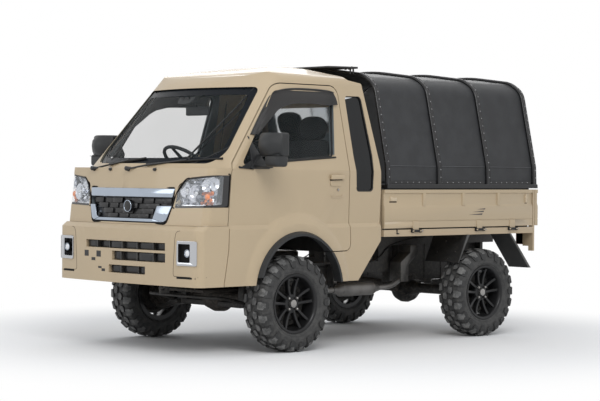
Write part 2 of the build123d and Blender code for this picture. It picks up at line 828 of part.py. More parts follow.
def make_rim(side, centre_y):
    """Rim with ten paired spokes around a capped hub."""
    centre_x = side * HALF_TRACK
    with BuildPart() as rim:
        add(revolved(RIM_PROFILE, centre_x, side, centre_y))
        add(revolved(HUB_PROFILE, centre_x, side, centre_y))
        face_x = centre_x + side * 34 if side == 1 else centre_x - 60
        spokes_plane = Plane.YZ.offset(face_x)
        with BuildSketch(spokes_plane):
            with Locations((centre_y, TYRE_R)):
                with PolarLocations(0, 2 * SPOKES, start_angle=18):
                    with Locations((115, 0)):
                        Rectangle(120, 22)
        extrude(amount=26)
    return rim.part


# ---------------------------------------------------------------- bed
BED_HALF = BODY_HALF
RAIL_TOP_Z = 786.0
BED_FLOOR_Z = 790.0
GATE_Z = (796.0, 1066.0)
GATE_T = 32.0
GATE_Y = (884.0, BED_REAR - 63)
HEADBOARD_T = 30.0
POST_IN = BED_HALF - 42.5
LEG_X = (BED_HALF - 82.5, BED_HALF - 47.5)
GATE_PROFILE = [  # depth under the outer face, z
    (0, GATE_Z[0]),
    (0, 843),
    (3, 846.5),
    (0, 850),
    (0, 938),
    (9, 962),
    (9, 1038),
    (0, 1042),
    (0, GATE_Z[1]),
]
GATE_RIBS = (1293.0, 1713.0, 2104.0)
PIN_R = 4.0
BARREL_R = 9.0
LUG_R = 8.0
PIN_Z = 776.0
SIDE_PIN_X = BED_HALF + 10.5
TAIL_PIN_Y = BED_REAR - BARREL_R
SIDE_HINGES = (1201.0, 1885.0, 2258.0)
TAIL_HINGES = (-480.0, 0.0, 480.0)
HINGE_W = 60.0
LUG_W = 16.0


def along_bed(x, z, radius, y_low, y_high):
    """Round bar along the side of the bed."""
    with BuildPart() as bar:
        with BuildSketch(Plane.XZ.offset(-at(y_high))):
            with Locations((x, z)):
                Circle(radius)
        extrude(amount=y_high - y_low)
    return bar.part


def across_bed(y, z, radius, x_low, x_high):
    """Round bar across the rear of the bed."""
    with BuildPart() as bar:
        with BuildSketch(Plane.YZ.offset(x_low)):
            with Locations((at(y), z)):
                Circle(radius)
        extrude(amount=x_high - x_low)
    return bar.part


with BuildPart() as bed_floor:
    edge = POST_IN + 3
    add(block((-edge, edge), (BED_FRONT, BED_REAR - 40), (762, RAIL_TOP_Z)))
    deck = LEG_X[0] - 5
    add(block((-deck, deck), (BED_FRONT + HEADBOARD_T + 1, BED_REAR - 62), (RAIL_TOP_Z, BED_FLOOR_Z)))
    for side in (1, -1):
        x = sorted((side * POST_IN, side * BED_HALF))
        add(block(x, (BED_FRONT, BED_REAR - 58), (740, RAIL_TOP_Z)))
        add(block(x, (BED_REAR - 57, BED_REAR - 39), (605, GATE_Z[1])))
        add(block(sorted((side * POST_IN, side * (POST_IN - 55))), (BED_REAR - 57, BED_REAR - 39), (640, 770)))
        for y in SIDE_HINGES:
            for end in (y - HINGE_W / 2 - LUG_W - 1, y + HINGE_W / 2 + 1):
                lug_x = sorted((side * BED_HALF, side * SIDE_PIN_X))
                add(block(lug_x, (end, end + LUG_W), (PIN_Z - LUG_R, PIN_Z + LUG_R)))
                add(along_bed(side * SIDE_PIN_X, PIN_Z, LUG_R, end, end + LUG_W))
            reach = HINGE_W / 2 + LUG_W / 2
            add(along_bed(side * SIDE_PIN_X, PIN_Z, PIN_R, y - reach, y + reach))
    for x in TAIL_HINGES:
        for end in (x - HINGE_W / 2 - LUG_W - 1, x + HINGE_W / 2 + 1):
            add(block((end, end + LUG_W), (BED_REAR - 60, TAIL_PIN_Y), (PIN_Z - LUG_R, PIN_Z + LUG_R)))
            add(across_bed(TAIL_PIN_Y, PIN_Z, LUG_R, end, end + LUG_W))
        reach = HINGE_W / 2 + LUG_W / 2
        add(across_bed(TAIL_PIN_Y, PIN_Z, PIN_R, x - reach, x + reach))
    for y in (BED_FRONT, 1220, 1560, 1900, 2240, BED_REAR - 110):
        add(block((-edge, edge), (y, y + 50), (HIGH_RAIL_Z[1], 766)))

with BuildPart() as headboard:
    head_half = POST_IN + 2
    add(block((-head_half, head_half), (BED_FRONT, BED_FRONT + HEADBOARD_T), (RAIL_TOP_Z, GATE_Z[1])))

with BuildPart() as gate_left:
    with BuildSketch(Plane.XZ.offset(-at(GATE_Y[1]))):
        with BuildLine():
            Polyline(
                (BED_HALF - GATE_T, GATE_Z[0]),
                *[(BED_HALF - depth, z) for depth, z in GATE_PROFILE],
                (BED_HALF - GATE_T, GATE_Z[1]),
                close=True,
            )
        make_face()
    extrude(amount=GATE_Y[1] - GATE_Y[0])
    for y in GATE_RIBS:
        add(block((BED_HALF - 12, BED_HALF), (y - 15, y + 15), (950, 1041)))
    for y in SIDE_HINGES:
        half = HINGE_W / 2
        add(block((BED_HALF + 1.5, BED_HALF + 5.5), (y - half, y + half), (PIN_Z, 842)))
        add(block((BED_HALF - 5, BED_HALF + 2), (y - half, y + half), (GATE_Z[0], 842)))
        add(along_bed(SIDE_PIN_X, PIN_Z, BARREL_R, y - half, y + half))
        add(along_bed(SIDE_PIN_X, PIN_Z, PIN_R + FIT, y - half - 1, y + half + 1), mode=Mode.SUBTRACT)

TAILGATE_Y = BED_REAR - 33
with BuildPart() as tailgate:
    with BuildSketch(Plane.YZ.offset(-BED_HALF)):
        with BuildLine():
            Polyline(
                (at(TAILGATE_Y), GATE_Z[0]),
                *[(at(BED_REAR - depth), z) for depth, z in GATE_PROFILE],
                (at(TAILGATE_Y), GATE_Z[1]),
                close=True,
            )
        make_face()
    extrude(amount=2 * BED_HALF)
    for x in TAIL_HINGES:
        half = HINGE_W / 2
        add(block((x - 15, x + 15), (BED_REAR - 12, BED_REAR), (950, 1041)))
        add(block((x - half, x + half), (TAIL_PIN_Y - 3, TAIL_PIN_Y + 6), (PIN_Z, GATE_Z[0] + 6)))
        add(across_bed(TAIL_PIN_Y, PIN_Z, BARREL_R, x - half, x + half))
        add(across_bed(TAIL_PIN_Y, PIN_Z, PIN_R + FIT, x - half - 1, x + half + 1), mode=Mode.SUBTRACT)

with BuildPart() as tail_lamps:
    for side in (1, -1):
        lamp_x = sorted((side * (POST_IN - 135), side * (POST_IN - 5)))
        add(block(lamp_x, (BED_REAR - 39, BED_REAR - 20), (650, 735)))

with BuildPart() as mudguards:
    for side in (1, -1):
        for rows, x_low in (
            ([(-162, 740), (-156, 740), (-252, 540), (-258, 540)], 430),
            ([(314, 740), (320, 740), (546, 480), (540, 480)], 560),
        ):
            x = sorted((side * x_low, side * (BODY_HALF + 10.5)))
            with BuildSketch(Plane.YZ.offset(x[0])):
                with BuildLine():
                    Polyline(*[(REAR_AXLE_Y + y, z) for y, z in rows], close=True)
                make_face()
            extrude(amount=x[1] - x[0])

# ---------------------------------------------------------------- canopy
BASE_Z = (1075.0, 1098.0)
HOOP_TOP_Z = 1945.0
HOOP_W = 44.0
HOOP_LIFT = 20.0
SKIN_T = 6.0
HOOP_FIRST = 935.0
PLATE_END = HOOP_FIRST - HOOP_W / 2
HOOP_LAST = BED_REAR - 24.0
HOOPS = 4
HOOP_OUTLINE = [  # x, z, corner radius
    (BED_HALF - 4.5, BASE_Z[1], 0),
    (BED_HALF - 10.5, 1232, 60),
    (BED_HALF - 137.5, 1802, 150),
    (BED_HALF - 257.5, 1885, 170),
]
OVER_CAB_Z = 1912.0
OVER_CAB_HALF = (360.0, 440.0)


def canopy_face(plane_y, inset):
    """Arch-shaped face of the canopy at one y, drawn in by the inset."""
    with BuildSketch(Plane.XZ.offset(-at(plane_y))) as arch:
        with BuildLine():
            rows = [(x - inset, z, r) for x, z, r in HOOP_OUTLINE[:3]]
            top = [(HOOP_OUTLINE[3][0] - inset * 0.5, HOOP_OUTLINE[3][1] - inset, HOOP_OUTLINE[3][2])]
            rows = rows + top
            FilletPolyline(
                *[(x, z) for x, z, _ in rows],
                (0, HOOP_TOP_Z - inset),
                *[(-x, z) for x, z, _ in reversed(rows)],
                radius=[r for _, _, r in rows] + [1500] + [r for _, _, r in reversed(rows)],
                close=True,
            )
        make_face()
    return arch.sketch


hoop_pitch = (HOOP_LAST - HOOP_FIRST) / (HOOPS - 1)
hoop_ys = [HOOP_FIRST + i * hoop_pitch for i in range(HOOPS)]
with BuildPart() as canopy_hoops:
    for y in hoop_ys:
        extrude(canopy_face(y + HOOP_W / 2, 0), amount=HOOP_W)
    extrude(canopy_face(HOOP_LAST + 100, HOOP_LIFT), amount=2000, mode=Mode.SUBTRACT)

with BuildPart() as canopy_base:
    for side in (1, -1):
        x = sorted((side * (BED_HALF - 37.5), side * (BED_HALF - 1.5)))
        add(block(x, (HOOP_FIRST - HOOP_W / 2, HOOP_LAST + HOOP_W / 2), BASE_Z))
        for y in hoop_ys:
            leg = sorted((side * LEG_X[0], side * LEG_X[1]))
            leg_end = min(y + 18, BED_REAR - 62)
            leg_y = (leg_end - 36, leg_end)
            add(block(leg, leg_y, (RAIL_TOP_Z, BASE_Z[1])))
            add(block(sorted((side * LEG_X[0], side * (BED_HALF - 1.5))), leg_y, BASE_Z))

with BuildPart() as over_cab_plate:
    with BuildSketch(Plane.XY.offset(OVER_CAB_Z)):
        with BuildLine():
            narrow, wide = OVER_CAB_HALF
            Polyline(
                (-wide, at(PLATE_END)), (-narrow, at(700)), (narrow, at(700)), (wide, at(PLATE_END)), close=True
            )
        make_face()
    extrude(amount=14)

with BuildPart() as canopy_skin:
    extrude(canopy_face(HOOP_LAST + HOOP_W / 2, HOOP_LIFT), amount=HOOP_LAST - HOOP_FIRST + HOOP_W)
    extrude(
        canopy_face(HOOP_LAST + HOOP_W, HOOP_LIFT + SKIN_T),
        amount=HOOP_LAST - HOOP_FIRST + 3 * HOOP_W,
        mode=Mode.SUBTRACT,
    )

# ---------------------------------------------------------------- pieces
PIECES = {
    "door_left_shell": door_left_shell.part,
    "door_left_glass": door_left_glass.part,
    "mirror_left": mirror_left.part,
    "door_right_shell": mirror(door_left_shell.part, about=Plane.YZ),
    "door_right_glass": mirror(door_left_glass.part, about=Plane.YZ),
    "mirror_right": mirror(mirror_left.part, about=Plane.YZ),
    "front_bumper": front_bumper.part,
    "nose_panel": nose_panel.part,
    "headlamps": headlamps.part,
    "fog_lamps": fog_lamps.part,
    "grille": grille.part,
    "grille_trim": grille_trim.part,
    "cab_sides": cab_sides.part,
    "cab_back": cab_back.part,
    "roof": roof.part,
    "windscreen": windscreen.part,
    "cab_windows": cab_windows.part,
    "cab_floor": cab_floor.part,
    "dashboard": dashboard.part,
    "seats": seats.part,
    "steering_wheel": steering_wheel.part,
    "sill_flares": sill_flares.part,
    "door_left_flare": door_left_flare.part,
    "door_right_flare": mirror(door_left_flare.part, about=Plane.YZ),
    "frame_rails": frame_rails.part,
    "cross_members": cross_members.part,
    "engine_block": engine_block.part,
    "front_suspension": front_suspension.part,
    "knuckle_left": knuckle_left.part,
    "knuckle_right": mirror(knuckle_left.part, about=Plane.YZ),
    "rear_axle": rear_axle.part,
    "rear_springs": rear_springs.part,
    "silencer_and_tank": silencer_and_tank.part,
    "bed_floor": bed_floor.part,
    "headboard": headboard.part,
    "gate_left": gate_left.part,
    "gate_right": mirror(gate_left.part, about=Plane.YZ),
    "tailgate": tailgate.part,
    "tail_lamps": tail_lamps.part,
    "mudguards": mudguards.part,
    "canopy_hoops": canopy_hoops.part,
    "canopy_base": canopy_base.part,
    "over_cab_plate": over_cab_plate.part,
    "canopy_skin": canopy_skin.part,
}
for corner, (side, centre_y) in WHEELS.items():
    PIECES[f"tyre_{corner}"] = revolved(TYRE_PROFILE, side * HALF_TRACK, side, centre_y)
    PIECES[f"rim_{corner}"] = make_rim(side, centre_y)
for label, piece in PIECES.items():
    piece.label = label
    export_step(piece, f"parts/{label}.step")
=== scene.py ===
"""Looks of a lifted kei truck: raised-roof cab, drop-side bed and hooped canopy.

Metres. +Z is up, the truck faces -Y, +X is its left side, and the origin is on
the ground under its middle. Places along the truck are counted from the front
axle, towards the rear, and `at` turns them into the frame.
"""

from __future__ import annotations

import json
import logging
import math
from dataclasses import dataclass
from enum import Enum
from typing import Callable, Optional, Sequence, Union

import bmesh
import bpy
from mathutils import Matrix, Vector
from mathutils.bvhtree import BVHTree

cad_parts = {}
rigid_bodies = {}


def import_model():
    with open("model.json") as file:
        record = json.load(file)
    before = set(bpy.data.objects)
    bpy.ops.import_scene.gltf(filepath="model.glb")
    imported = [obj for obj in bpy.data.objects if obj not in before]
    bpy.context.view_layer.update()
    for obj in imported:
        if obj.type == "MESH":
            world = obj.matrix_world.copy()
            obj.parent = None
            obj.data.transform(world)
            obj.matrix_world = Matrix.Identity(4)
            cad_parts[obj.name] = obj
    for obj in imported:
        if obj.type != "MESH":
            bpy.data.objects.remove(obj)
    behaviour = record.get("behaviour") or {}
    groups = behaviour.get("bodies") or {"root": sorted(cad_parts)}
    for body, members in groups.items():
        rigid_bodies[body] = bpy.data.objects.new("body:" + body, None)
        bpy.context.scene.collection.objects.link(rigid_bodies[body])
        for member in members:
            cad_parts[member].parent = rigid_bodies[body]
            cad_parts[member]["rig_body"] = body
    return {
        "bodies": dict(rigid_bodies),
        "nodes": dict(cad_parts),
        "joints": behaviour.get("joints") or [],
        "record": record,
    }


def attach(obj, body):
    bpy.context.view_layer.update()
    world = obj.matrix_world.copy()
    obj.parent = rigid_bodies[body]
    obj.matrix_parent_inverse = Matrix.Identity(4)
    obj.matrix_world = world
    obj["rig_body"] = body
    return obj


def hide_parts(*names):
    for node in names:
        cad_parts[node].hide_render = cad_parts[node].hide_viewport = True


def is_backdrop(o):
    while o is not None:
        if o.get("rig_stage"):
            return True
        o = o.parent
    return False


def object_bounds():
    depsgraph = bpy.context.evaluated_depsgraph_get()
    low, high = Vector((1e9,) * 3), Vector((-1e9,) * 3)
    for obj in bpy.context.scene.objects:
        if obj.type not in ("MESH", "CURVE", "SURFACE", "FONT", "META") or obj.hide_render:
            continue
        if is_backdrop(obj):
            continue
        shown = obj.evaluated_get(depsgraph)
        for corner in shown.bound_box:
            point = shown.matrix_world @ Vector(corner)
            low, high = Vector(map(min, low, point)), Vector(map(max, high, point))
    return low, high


LOG = logging.getLogger("kei_truck")

AXLE_Y = -0.8625
WHEELBASE = 1.900
BODY_HALF = 0.7375
HALF_TRACK = 0.700
TYRE_R = 0.318
GATE_HINGES = (1.201, 1.885, 2.258)
SIDES = (1, -1)
SIDE_NAME = {1: "left", -1: "right"}
CHASSIS = "chassis"

Point = Sequence[float]
Colour = tuple[float, float, float]


def at(y: float) -> float:
    """Row y of a place given from the front axle."""
    return AXLE_Y + y


def ramp(value: float, low: float, high: float) -> float:
    """0 below low, 1 above high, straight between."""
    return min(1.0, max(0.0, (value - low) / (high - low)))


# ------------------------------------------------------------------ shader sheets


class Value:
    """A shader socket that takes part in Python arithmetic."""

    def __init__(self, sheet: "Sheet", socket: bpy.types.NodeSocket) -> None:
        """Wrap one output socket of a sheet."""
        self.sheet = sheet
        self.socket = socket

    def _join(self, operation: str, first: "Operand", second: "Operand") -> "Value":
        """Math node of two operands."""
        return self.sheet.node("ShaderNodeMath", {"operation": operation}, {0: first, 1: second})

    def __add__(self, other: "Operand") -> "Value":
        """self + other."""
        return self._join("ADD", self, other)

    def __radd__(self, other: "Operand") -> "Value":
        """other + self."""
        return self._join("ADD", other, self)

    def __sub__(self, other: "Operand") -> "Value":
        """self - other."""
        return self._join("SUBTRACT", self, other)

    def __rsub__(self, other: "Operand") -> "Value":
        """other - self."""
        return self._join("SUBTRACT", other, self)

    def __mul__(self, other: "Operand") -> "Value":
        """self * other."""
        return self._join("MULTIPLY", self, other)

    def __rmul__(self, other: "Operand") -> "Value":
        """other * self."""
        return self._join("MULTIPLY", other, self)

    def __pow__(self, other: "Operand") -> "Value":
        """self ** other."""
        return self._join("POWER", self, other)

    def __gt__(self, other: "Operand") -> "Value":
        """1 where self is above other."""
        return self._join("GREATER_THAN", self, other)

    def wave(self, period: float) -> "Value":
        """Triangle wave from 0 to 1 with one period."""
        return self._join("PINGPONG", self, period / 2) * (2 / period)

    def fade(self, low: float, high: float) -> "Value":
        """0 below low, 1 above high, smooth between."""
        return self.sheet.node(
            "ShaderNodeMapRange",
            {"interpolation_type": "SMOOTHSTEP"},
            {"Value": self, "From Min": low, "From Max": high},
        )


Operand = Union[Value, float, int]


class Sheet:
    """Node tree of one material, written as expressions."""

    def __init__(self, name: str) -> None:
        """Start an empty material.

        Args:
            name: the material's name.
        """
        self.material = bpy.data.materials.new(name)
        self.material.use_nodes = True
        self.tree = self.material.node_tree
        self.tree.nodes.clear()
        self.output = self.tree.nodes.new("ShaderNodeOutputMaterial")

    def node(
        self, kind: str, settings: Optional[dict] = None, values: Optional[dict] = None, out: int = 0
    ) -> Value:
        """Add one node.

        Args:
            kind: the node's type.
            settings: its properties, with "stops" for a colour ramp.
            values: numbers or links for its input sockets, by name or index.
            out: which output to wrap.

        Returns:
            The wrapped output.
        """
        made = self.tree.nodes.new(kind)
        for key, setting in (settings or {}).items():
            if key == "stops":
                elements = made.color_ramp.elements
                while len(elements) < len(setting):
                    elements.new(0.5)
                for element, (place, shade) in zip(elements, setting):
                    element.position = place
                    element.color = (shade, shade, shade, 1.0)
            else:
                setattr(made, key, setting)
        for key, value in (values or {}).items():
            socket = made.inputs[key]
            if isinstance(value, Value):
                self.tree.links.new(value.socket, socket)
            else:
                socket.default_value = value
        return Value(self, made.outputs[out])

    def place(self) -> Value:
        """Object coordinates, which are the truck's own frame."""
        return self.node("ShaderNodeTexCoord", out=3)

    def axis(self, index: int) -> Value:
        """One of the object coordinates."""
        return self.node("ShaderNodeSeparateXYZ", values={0: self.place()}, out=index)

    def stretched(self, scale: Point) -> Value:
        """Object coordinates multiplied along each axis."""
        return self.node("ShaderNodeMapping", values={"Vector": self.place(), "Scale": tuple(scale)})

    def noise(self, scale: float, detail: float = 3.0, vector: Optional[Value] = None) -> Value:
        """Noise from 0 to 1.

        Args:
            scale: how many features a metre.
            detail: octaves.
            vector: coordinates, the object's when left out.

        Returns:
            The noise value.
        """
        return self.node(
            "ShaderNodeTexNoise",
            values={"Vector": vector or self.place(), "Scale": scale, "Detail": detail},
        )

    def mix(self, mask: Operand, first: Union[Value, Colour], second: Union[Value, Colour]) -> Value:
        """Colour mix, first where the mask is 0 and second where it is 1."""
        values = {0: mask}
        for index, colour in ((6, first), (7, second)):
            values[index] = colour if isinstance(colour, Value) else (*colour, 1.0)
        return self.node("ShaderNodeMix", {"data_type": "RGBA"}, values, out=2)

    def bump(self, height: Value, strength: float, distance: float = 0.001) -> Value:
        """Normal bent by a height, over a distance in metres."""
        return self.node(
            "ShaderNodeBump", values={"Strength": strength, "Distance": distance, "Height": height}
        )

    def close(self, **sockets: Union[Operand, Point]) -> bpy.types.Material:
        """Finish the sheet with a Principled shader.

        Args:
            sockets: its inputs, with underscores for spaces.

        Returns:
            The material.
        """
        values = {name.replace("_", " "): value for name, value in sockets.items()}
        for name, value in values.items():
            if isinstance(value, tuple) and len(value) == 3:
                values[name] = (*value, 1.0)
        shader = self.node("ShaderNodeBsdfPrincipled", values=values)
        self.tree.links.new(shader.socket, self.output.inputs["Surface"])
        return self.material


# ------------------------------------------------------------------ finishes


@dataclass(frozen=True)
class Finish:
    """A plain surface: colour, gloss, grain and soft variation."""

    name: str
    slot: str
    colour: Colour
    rough: float = 0.45
    metal: float = 0.0
    coat: float = 0.0
    grain: float = 0.0
    grain_scale: float = 900.0
    patch: float = 0.08
    dust: float = 0.0
    dust_colour: Colour = (0.30, 0.26, 0.21)
    shine: float = 0.35

    def material(self) -> bpy.types.Material:
        """Build the material.

        Returns:
            The material for this finish.
        """
        sheet = Sheet(self.name)
        cloud = sheet.noise(7.0, 5.0)
        fine = sheet.noise(60.0, 4.0)
        shade = tuple(c * (1 - self.patch) for c in self.colour)
        lit = tuple(min(1.0, c * (1 + self.patch)) for c in self.colour)
        colour = sheet.mix(cloud.fade(0.35, 0.65), shade, lit)
        rough = (cloud - 0.5) * (0.25 * self.rough) + (fine - 0.5) * (0.15 * self.rough) + self.rough
        if self.dust:
            low = 1 - sheet.axis(2).fade(0.15, 0.9)
            mask = fine.fade(0.42, 0.75) * (low * 0.8 + 0.2) * self.dust
            colour = sheet.mix(mask, colour, self.dust_colour)
            rough = rough + mask * 0.35
        sockets = {
            "Base_Color": colour,
            "Roughness": rough,
            "Metallic": self.metal,
            "Specular_IOR_Level": self.shine,
            "Coat_Weight": self.coat,
            "Coat_Roughness": 0.04,
        }
        if self.grain:
            sockets["Normal"] = sheet.bump(sheet.noise(self.grain_scale, 2.0), self.grain, 0.0004)
        return sheet.close(**sockets)


@dataclass(frozen=True)
class Paint:
    """Clear-coated body paint with a faint orange peel."""

    name: str
    slot: str
    colour: Colour

    def material(self) -> bpy.types.Material:
        """Build the paint.

        Returns:
            The material for this paint.
        """
        sheet = Sheet(self.name)
        cloud = sheet.noise(2.5, 2.0)
        flake = sheet.noise(2600.0, 1.0)
        shade = tuple(c * 0.985 for c in self.colour)
        lit = tuple(c * 1.015 for c in self.colour)
        colour = sheet.mix(cloud.fade(0.3, 0.7), shade, lit)
        colour = sheet.mix(flake.fade(0.62, 0.8) * 0.12, colour, (0.75, 0.68, 0.58))
        return sheet.close(
            Base_Color=colour,
            Roughness=cloud * 0.06 + 0.42,
            Specular_IOR_Level=0.32,
            Coat_Weight=0.28,
            Coat_Roughness=0.06,
            Normal=sheet.bump(sheet.noise(380.0, 1.0), 0.035, 0.0006),
        )


@dataclass(frozen=True)
class Glass:
    """Thin glass, seen through, with a tint."""

    name: str
    slot: str
    colour: Colour
    cover: float
    ior: float = 1.5

    def material(self) -> bpy.types.Material:
        """Build the glass.

        Returns:
            The material for this glass.
        """
        sheet = Sheet(self.name)
        smear = sheet.noise(5.0, 4.0)
        return sheet.close(
            Base_Color=self.colour,
            Roughness=smear * 0.03 + 0.015,
            Alpha=smear * 0.02 + self.cover,
            IOR=self.ior,
            Normal=sheet.bump(sheet.noise(3.0, 1.0), 0.05, 0.002),
        )


@dataclass(frozen=True)
class Cloth:
    """Coated or woven cloth with a fine plain weave."""

    name: str
    slot: str
    colour: Colour
    thread: float
    rough: float
    bump: float
    wrinkle: float = 0.0

    def material(self) -> bpy.types.Material:
        """Build the cloth.

        Returns:
            The material for this cloth.
        """
        sheet = Sheet(self.name)
        along = sheet.axis(1).wave(self.thread)
        up = sheet.axis(2).wave(self.thread)
        weave = along * up
        cloud = sheet.noise(9.0, 5.0)
        shade = tuple(c * 0.86 for c in self.colour)
        lit = tuple(c * 1.16 for c in self.colour)
        colour = sheet.mix(cloud.fade(0.3, 0.7), shade, lit)
        height = weave * 0.3
        if self.wrinkle:
            folds = sheet.noise(3.2, 5.0, sheet.stretched((1.0, 2.6, 0.7)))
            height = height + folds * self.wrinkle
        return sheet.close(
            Base_Color=colour,
            Roughness=cloud * 0.12 + (self.rough - 0.06),
            Specular_IOR_Level=0.26,
            Normal=sheet.bump(height, self.bump, 0.004),
        )


@dataclass(frozen=True)
class Rubber:
    """Tyre rubber, dusty in its grooves and fine-grained."""

    name: str
    slot: str
    colour: Colour
    wear: Colour
    share: float

    def material(self) -> bpy.types.Material:
        """Build the rubber.

        Returns:
            The material for this rubber.
        """
        sheet = Sheet(self.name)
        blotch = sheet.noise(26.0, 6.0)
        fine = sheet.noise(240.0, 3.0)
        mask = (blotch.fade(0.38, 0.66) * 0.7 + fine.fade(0.4, 0.7) * 0.5) * self.share
        return sheet.close(
            Base_Color=sheet.mix(mask, self.colour, self.wear),
            Roughness=blotch * 0.2 + 0.62,
            Normal=sheet.bump(fine + blotch, 0.35, 0.0012),
        )


KHAKI = Paint("khaki_gloss", "khaki_paint", (0.458, 0.360, 0.236))
# Lighter copy of the khaki paint: a painted highlight on the latches and the lid line.
KHAKI_PAINTED_HIGHLIGHT = Paint("khaki_painted_highlight", "khaki_paint", (0.540, 0.435, 0.300))
BED_KHAKI = Paint("bed_khaki_gloss", "bed_paint", (0.450, 0.352, 0.232))
SATIN_BLACK = Finish(
    "satin_black", "black_paint", (0.018, 0.018, 0.019), 0.42, 0.0, 0.15, 0.12, 500.0, 0.2, 0.08
)
FRAME_BLACK = Finish(
    "frame_black", "black_paint", (0.024, 0.023, 0.022), 0.50, 0.0, 0.0, 0.3, 260.0, 0.3, 0.16
)
CANOPY_BLACK = Finish(
    "canopy_frame_black", "black_paint", (0.009, 0.009, 0.010), 0.30, 0.0, 0.1, 0.08, 700.0, 0.1
)
PLASTIC = Finish(
    "grained_plastic", "black_plastic", (0.022, 0.023, 0.024), 0.46, 0.0, 0.0, 0.35, 1500.0, 0.1
)
GLOSS_BLACK = Finish(
    "gloss_black", "black_plastic", (0.009, 0.009, 0.010), 0.30, 0.0, 0.1, 0.0, 900.0, 0.05, shine=0.35
)
DEEP_BLACK = Finish(
    "deep_black", "black_plastic", (0.006, 0.006, 0.006), 0.7, 0.0, 0.0, 0.1, 900.0, 0.05, shine=0.15
)
DASH = Finish("dash_plastic", "black_plastic", (0.035, 0.037, 0.040), 0.62, 0.0, 0.0, 0.4, 900.0, 0.1)
SEAL = Finish("seal_rubber", "black_rubber", (0.012, 0.012, 0.012), 0.6, 0.0, 0.0, 0.1, 600.0, 0.1)
MUDGUARD = Finish(
    "mudguard_rubber", "black_rubber", (0.017, 0.017, 0.017), 0.55, 0.0, 0.0, 0.25, 300.0, 0.2, 0.06
)
LAMP_BLACK = Finish("lamp_black", "black_plastic", (0.010, 0.010, 0.011), 0.22, 0.0, 0.5, 0.0, 900.0, 0.05)
STEEL_DARK = Finish("dark_steel", "grey_metal", (0.085, 0.083, 0.080), 0.45, 0.7, 0.0, 0.2, 300.0, 0.2, 0.2)
BEAD_BLACK = Finish("bead_black", "black_paint", (0.006, 0.006, 0.007), 0.24, 0.0, 0.2, 0.0, 900.0, 0.05)
# Lighter grey copy of the black rubber: a painted highlight along the mudguards' edges.
EDGE_HIGHLIGHT_GREY = Finish("edge_painted_highlight", "black_rubber", (0.075, 0.073, 0.070), 0.45, 0.0, 0.0, 0.15, 300.0, 0.2)
RIVET = Finish("rivet_grey", "grey_metal", (0.30, 0.30, 0.31), 0.30, 0.8, 0.0, 0.0, 900.0, 0.1)
# Dark olive for the roof's inside: the khaki metal darkened, a painted shade.
ROOF_INSIDE_PAINTED_SHADE = Finish("roof_inside_painted_shade", "grey_cloth", (0.085, 0.080, 0.060), 0.8, 0.0, 0.0, 0.4, 600.0, 0.1)
LINING = Finish("cab_lining", "grey_cloth", (0.135, 0.155, 0.165), 0.75, 0.0, 0.0, 0.4, 600.0, 0.1)
FRIT = Finish(
    "screen_border", "black_plastic", (0.006, 0.008, 0.011), 0.25, 0.0, 0.0, 0.0, 900.0, 0.05, shine=0.08
)
MIRROR = Finish("mirror_silver", "chrome", (0.80, 0.82, 0.84), 0.03, 1.0, 0.0, 0.0, 900.0, 0.01)
PLATE_WHITE = Finish("plate_white", "chrome", (0.62, 0.62, 0.60), 0.45, 0.0, 0.2, 0.1, 300.0, 0.04)
CHROME_SOFT = Finish("soft_chrome", "chrome", (0.46, 0.47, 0.49), 0.16, 1.0, 0.0, 0.0, 900.0, 0.03)
CHROME = Finish("bright_chrome", "chrome", (0.38, 0.43, 0.50), 0.08, 1.0, 0.0, 0.0, 900.0, 0.03)
REFLECTOR = Finish("lamp_reflector", "chrome", (0.60, 0.62, 0.67), 0.12, 1.0, 0.0, 0.0, 900.0, 0.02)
STEEL = Finish("dull_steel", "grey_metal", (0.14, 0.135, 0.13), 0.40, 0.7, 0.0, 0.3, 300.0, 0.25, 0.1)
SILVER = Finish("silver_cap", "grey_metal", (0.30, 0.29, 0.28), 0.28, 0.9, 0.3, 0.0, 900.0, 0.05)
IRON = Finish("cast_iron", "engine_iron", (0.045, 0.040, 0.036), 0.6, 0.4, 0.0, 0.6, 220.0, 0.4, 0.25)
ALLOY = Finish("matt_black_alloy", "black_alloy", (0.020, 0.020, 0.021), 0.34, 0.55, 0.1, 0.12, 900.0, 0.15)
STRIPE = Finish("stripe_brown", "black_plastic", (0.050, 0.040, 0.036), 0.4, 0.0, 0.4, 0.0, 900.0, 0.05)
AMBER = Finish("amber_lens", "lamp_clear", (0.85, 0.22, 0.02), 0.18, 0.0, 0.5, 0.0, 900.0, 0.1)
RED_LENS = Finish("red_lens", "lamp_red", (0.42, 0.010, 0.008), 0.15, 0.0, 0.7, 0.0, 900.0, 0.1)
WHITE_LENS = Finish("white_lens", "lamp_clear", (0.75, 0.76, 0.78), 0.12, 0.0, 0.7, 0.0, 900.0, 0.05)
SCREEN_GLASS = Glass("screen_glass", "clear_glass", (0.030, 0.040, 0.042), 0.10)
DARK_GLASS = Glass("smoked_glass", "dark_glass", (0.006, 0.007, 0.008), 0.95, 1.36)
# Pale mirror finish for the rear glass: it paints the bright light seen through the window.
REAR_GLASS_PAINTED_LIGHT = Finish("rear_glass_painted_light", "clear_glass", (0.60, 0.62, 0.63), 0.06, 1.0, 0.0, 0.0, 900.0, 0.02)
LENS_GLASS = Glass("lamp_cover", "lamp_clear", (0.75, 0.78, 0.80), 0.10)
VISOR = Glass("visor_smoke", "dark_glass", (0.016, 0.015, 0.015), 0.86)
CANVAS = Cloth("canopy_cloth", "canopy_fabric", (0.033, 0.034, 0.036), 0.0016, 0.50, 0.16, 0.45)
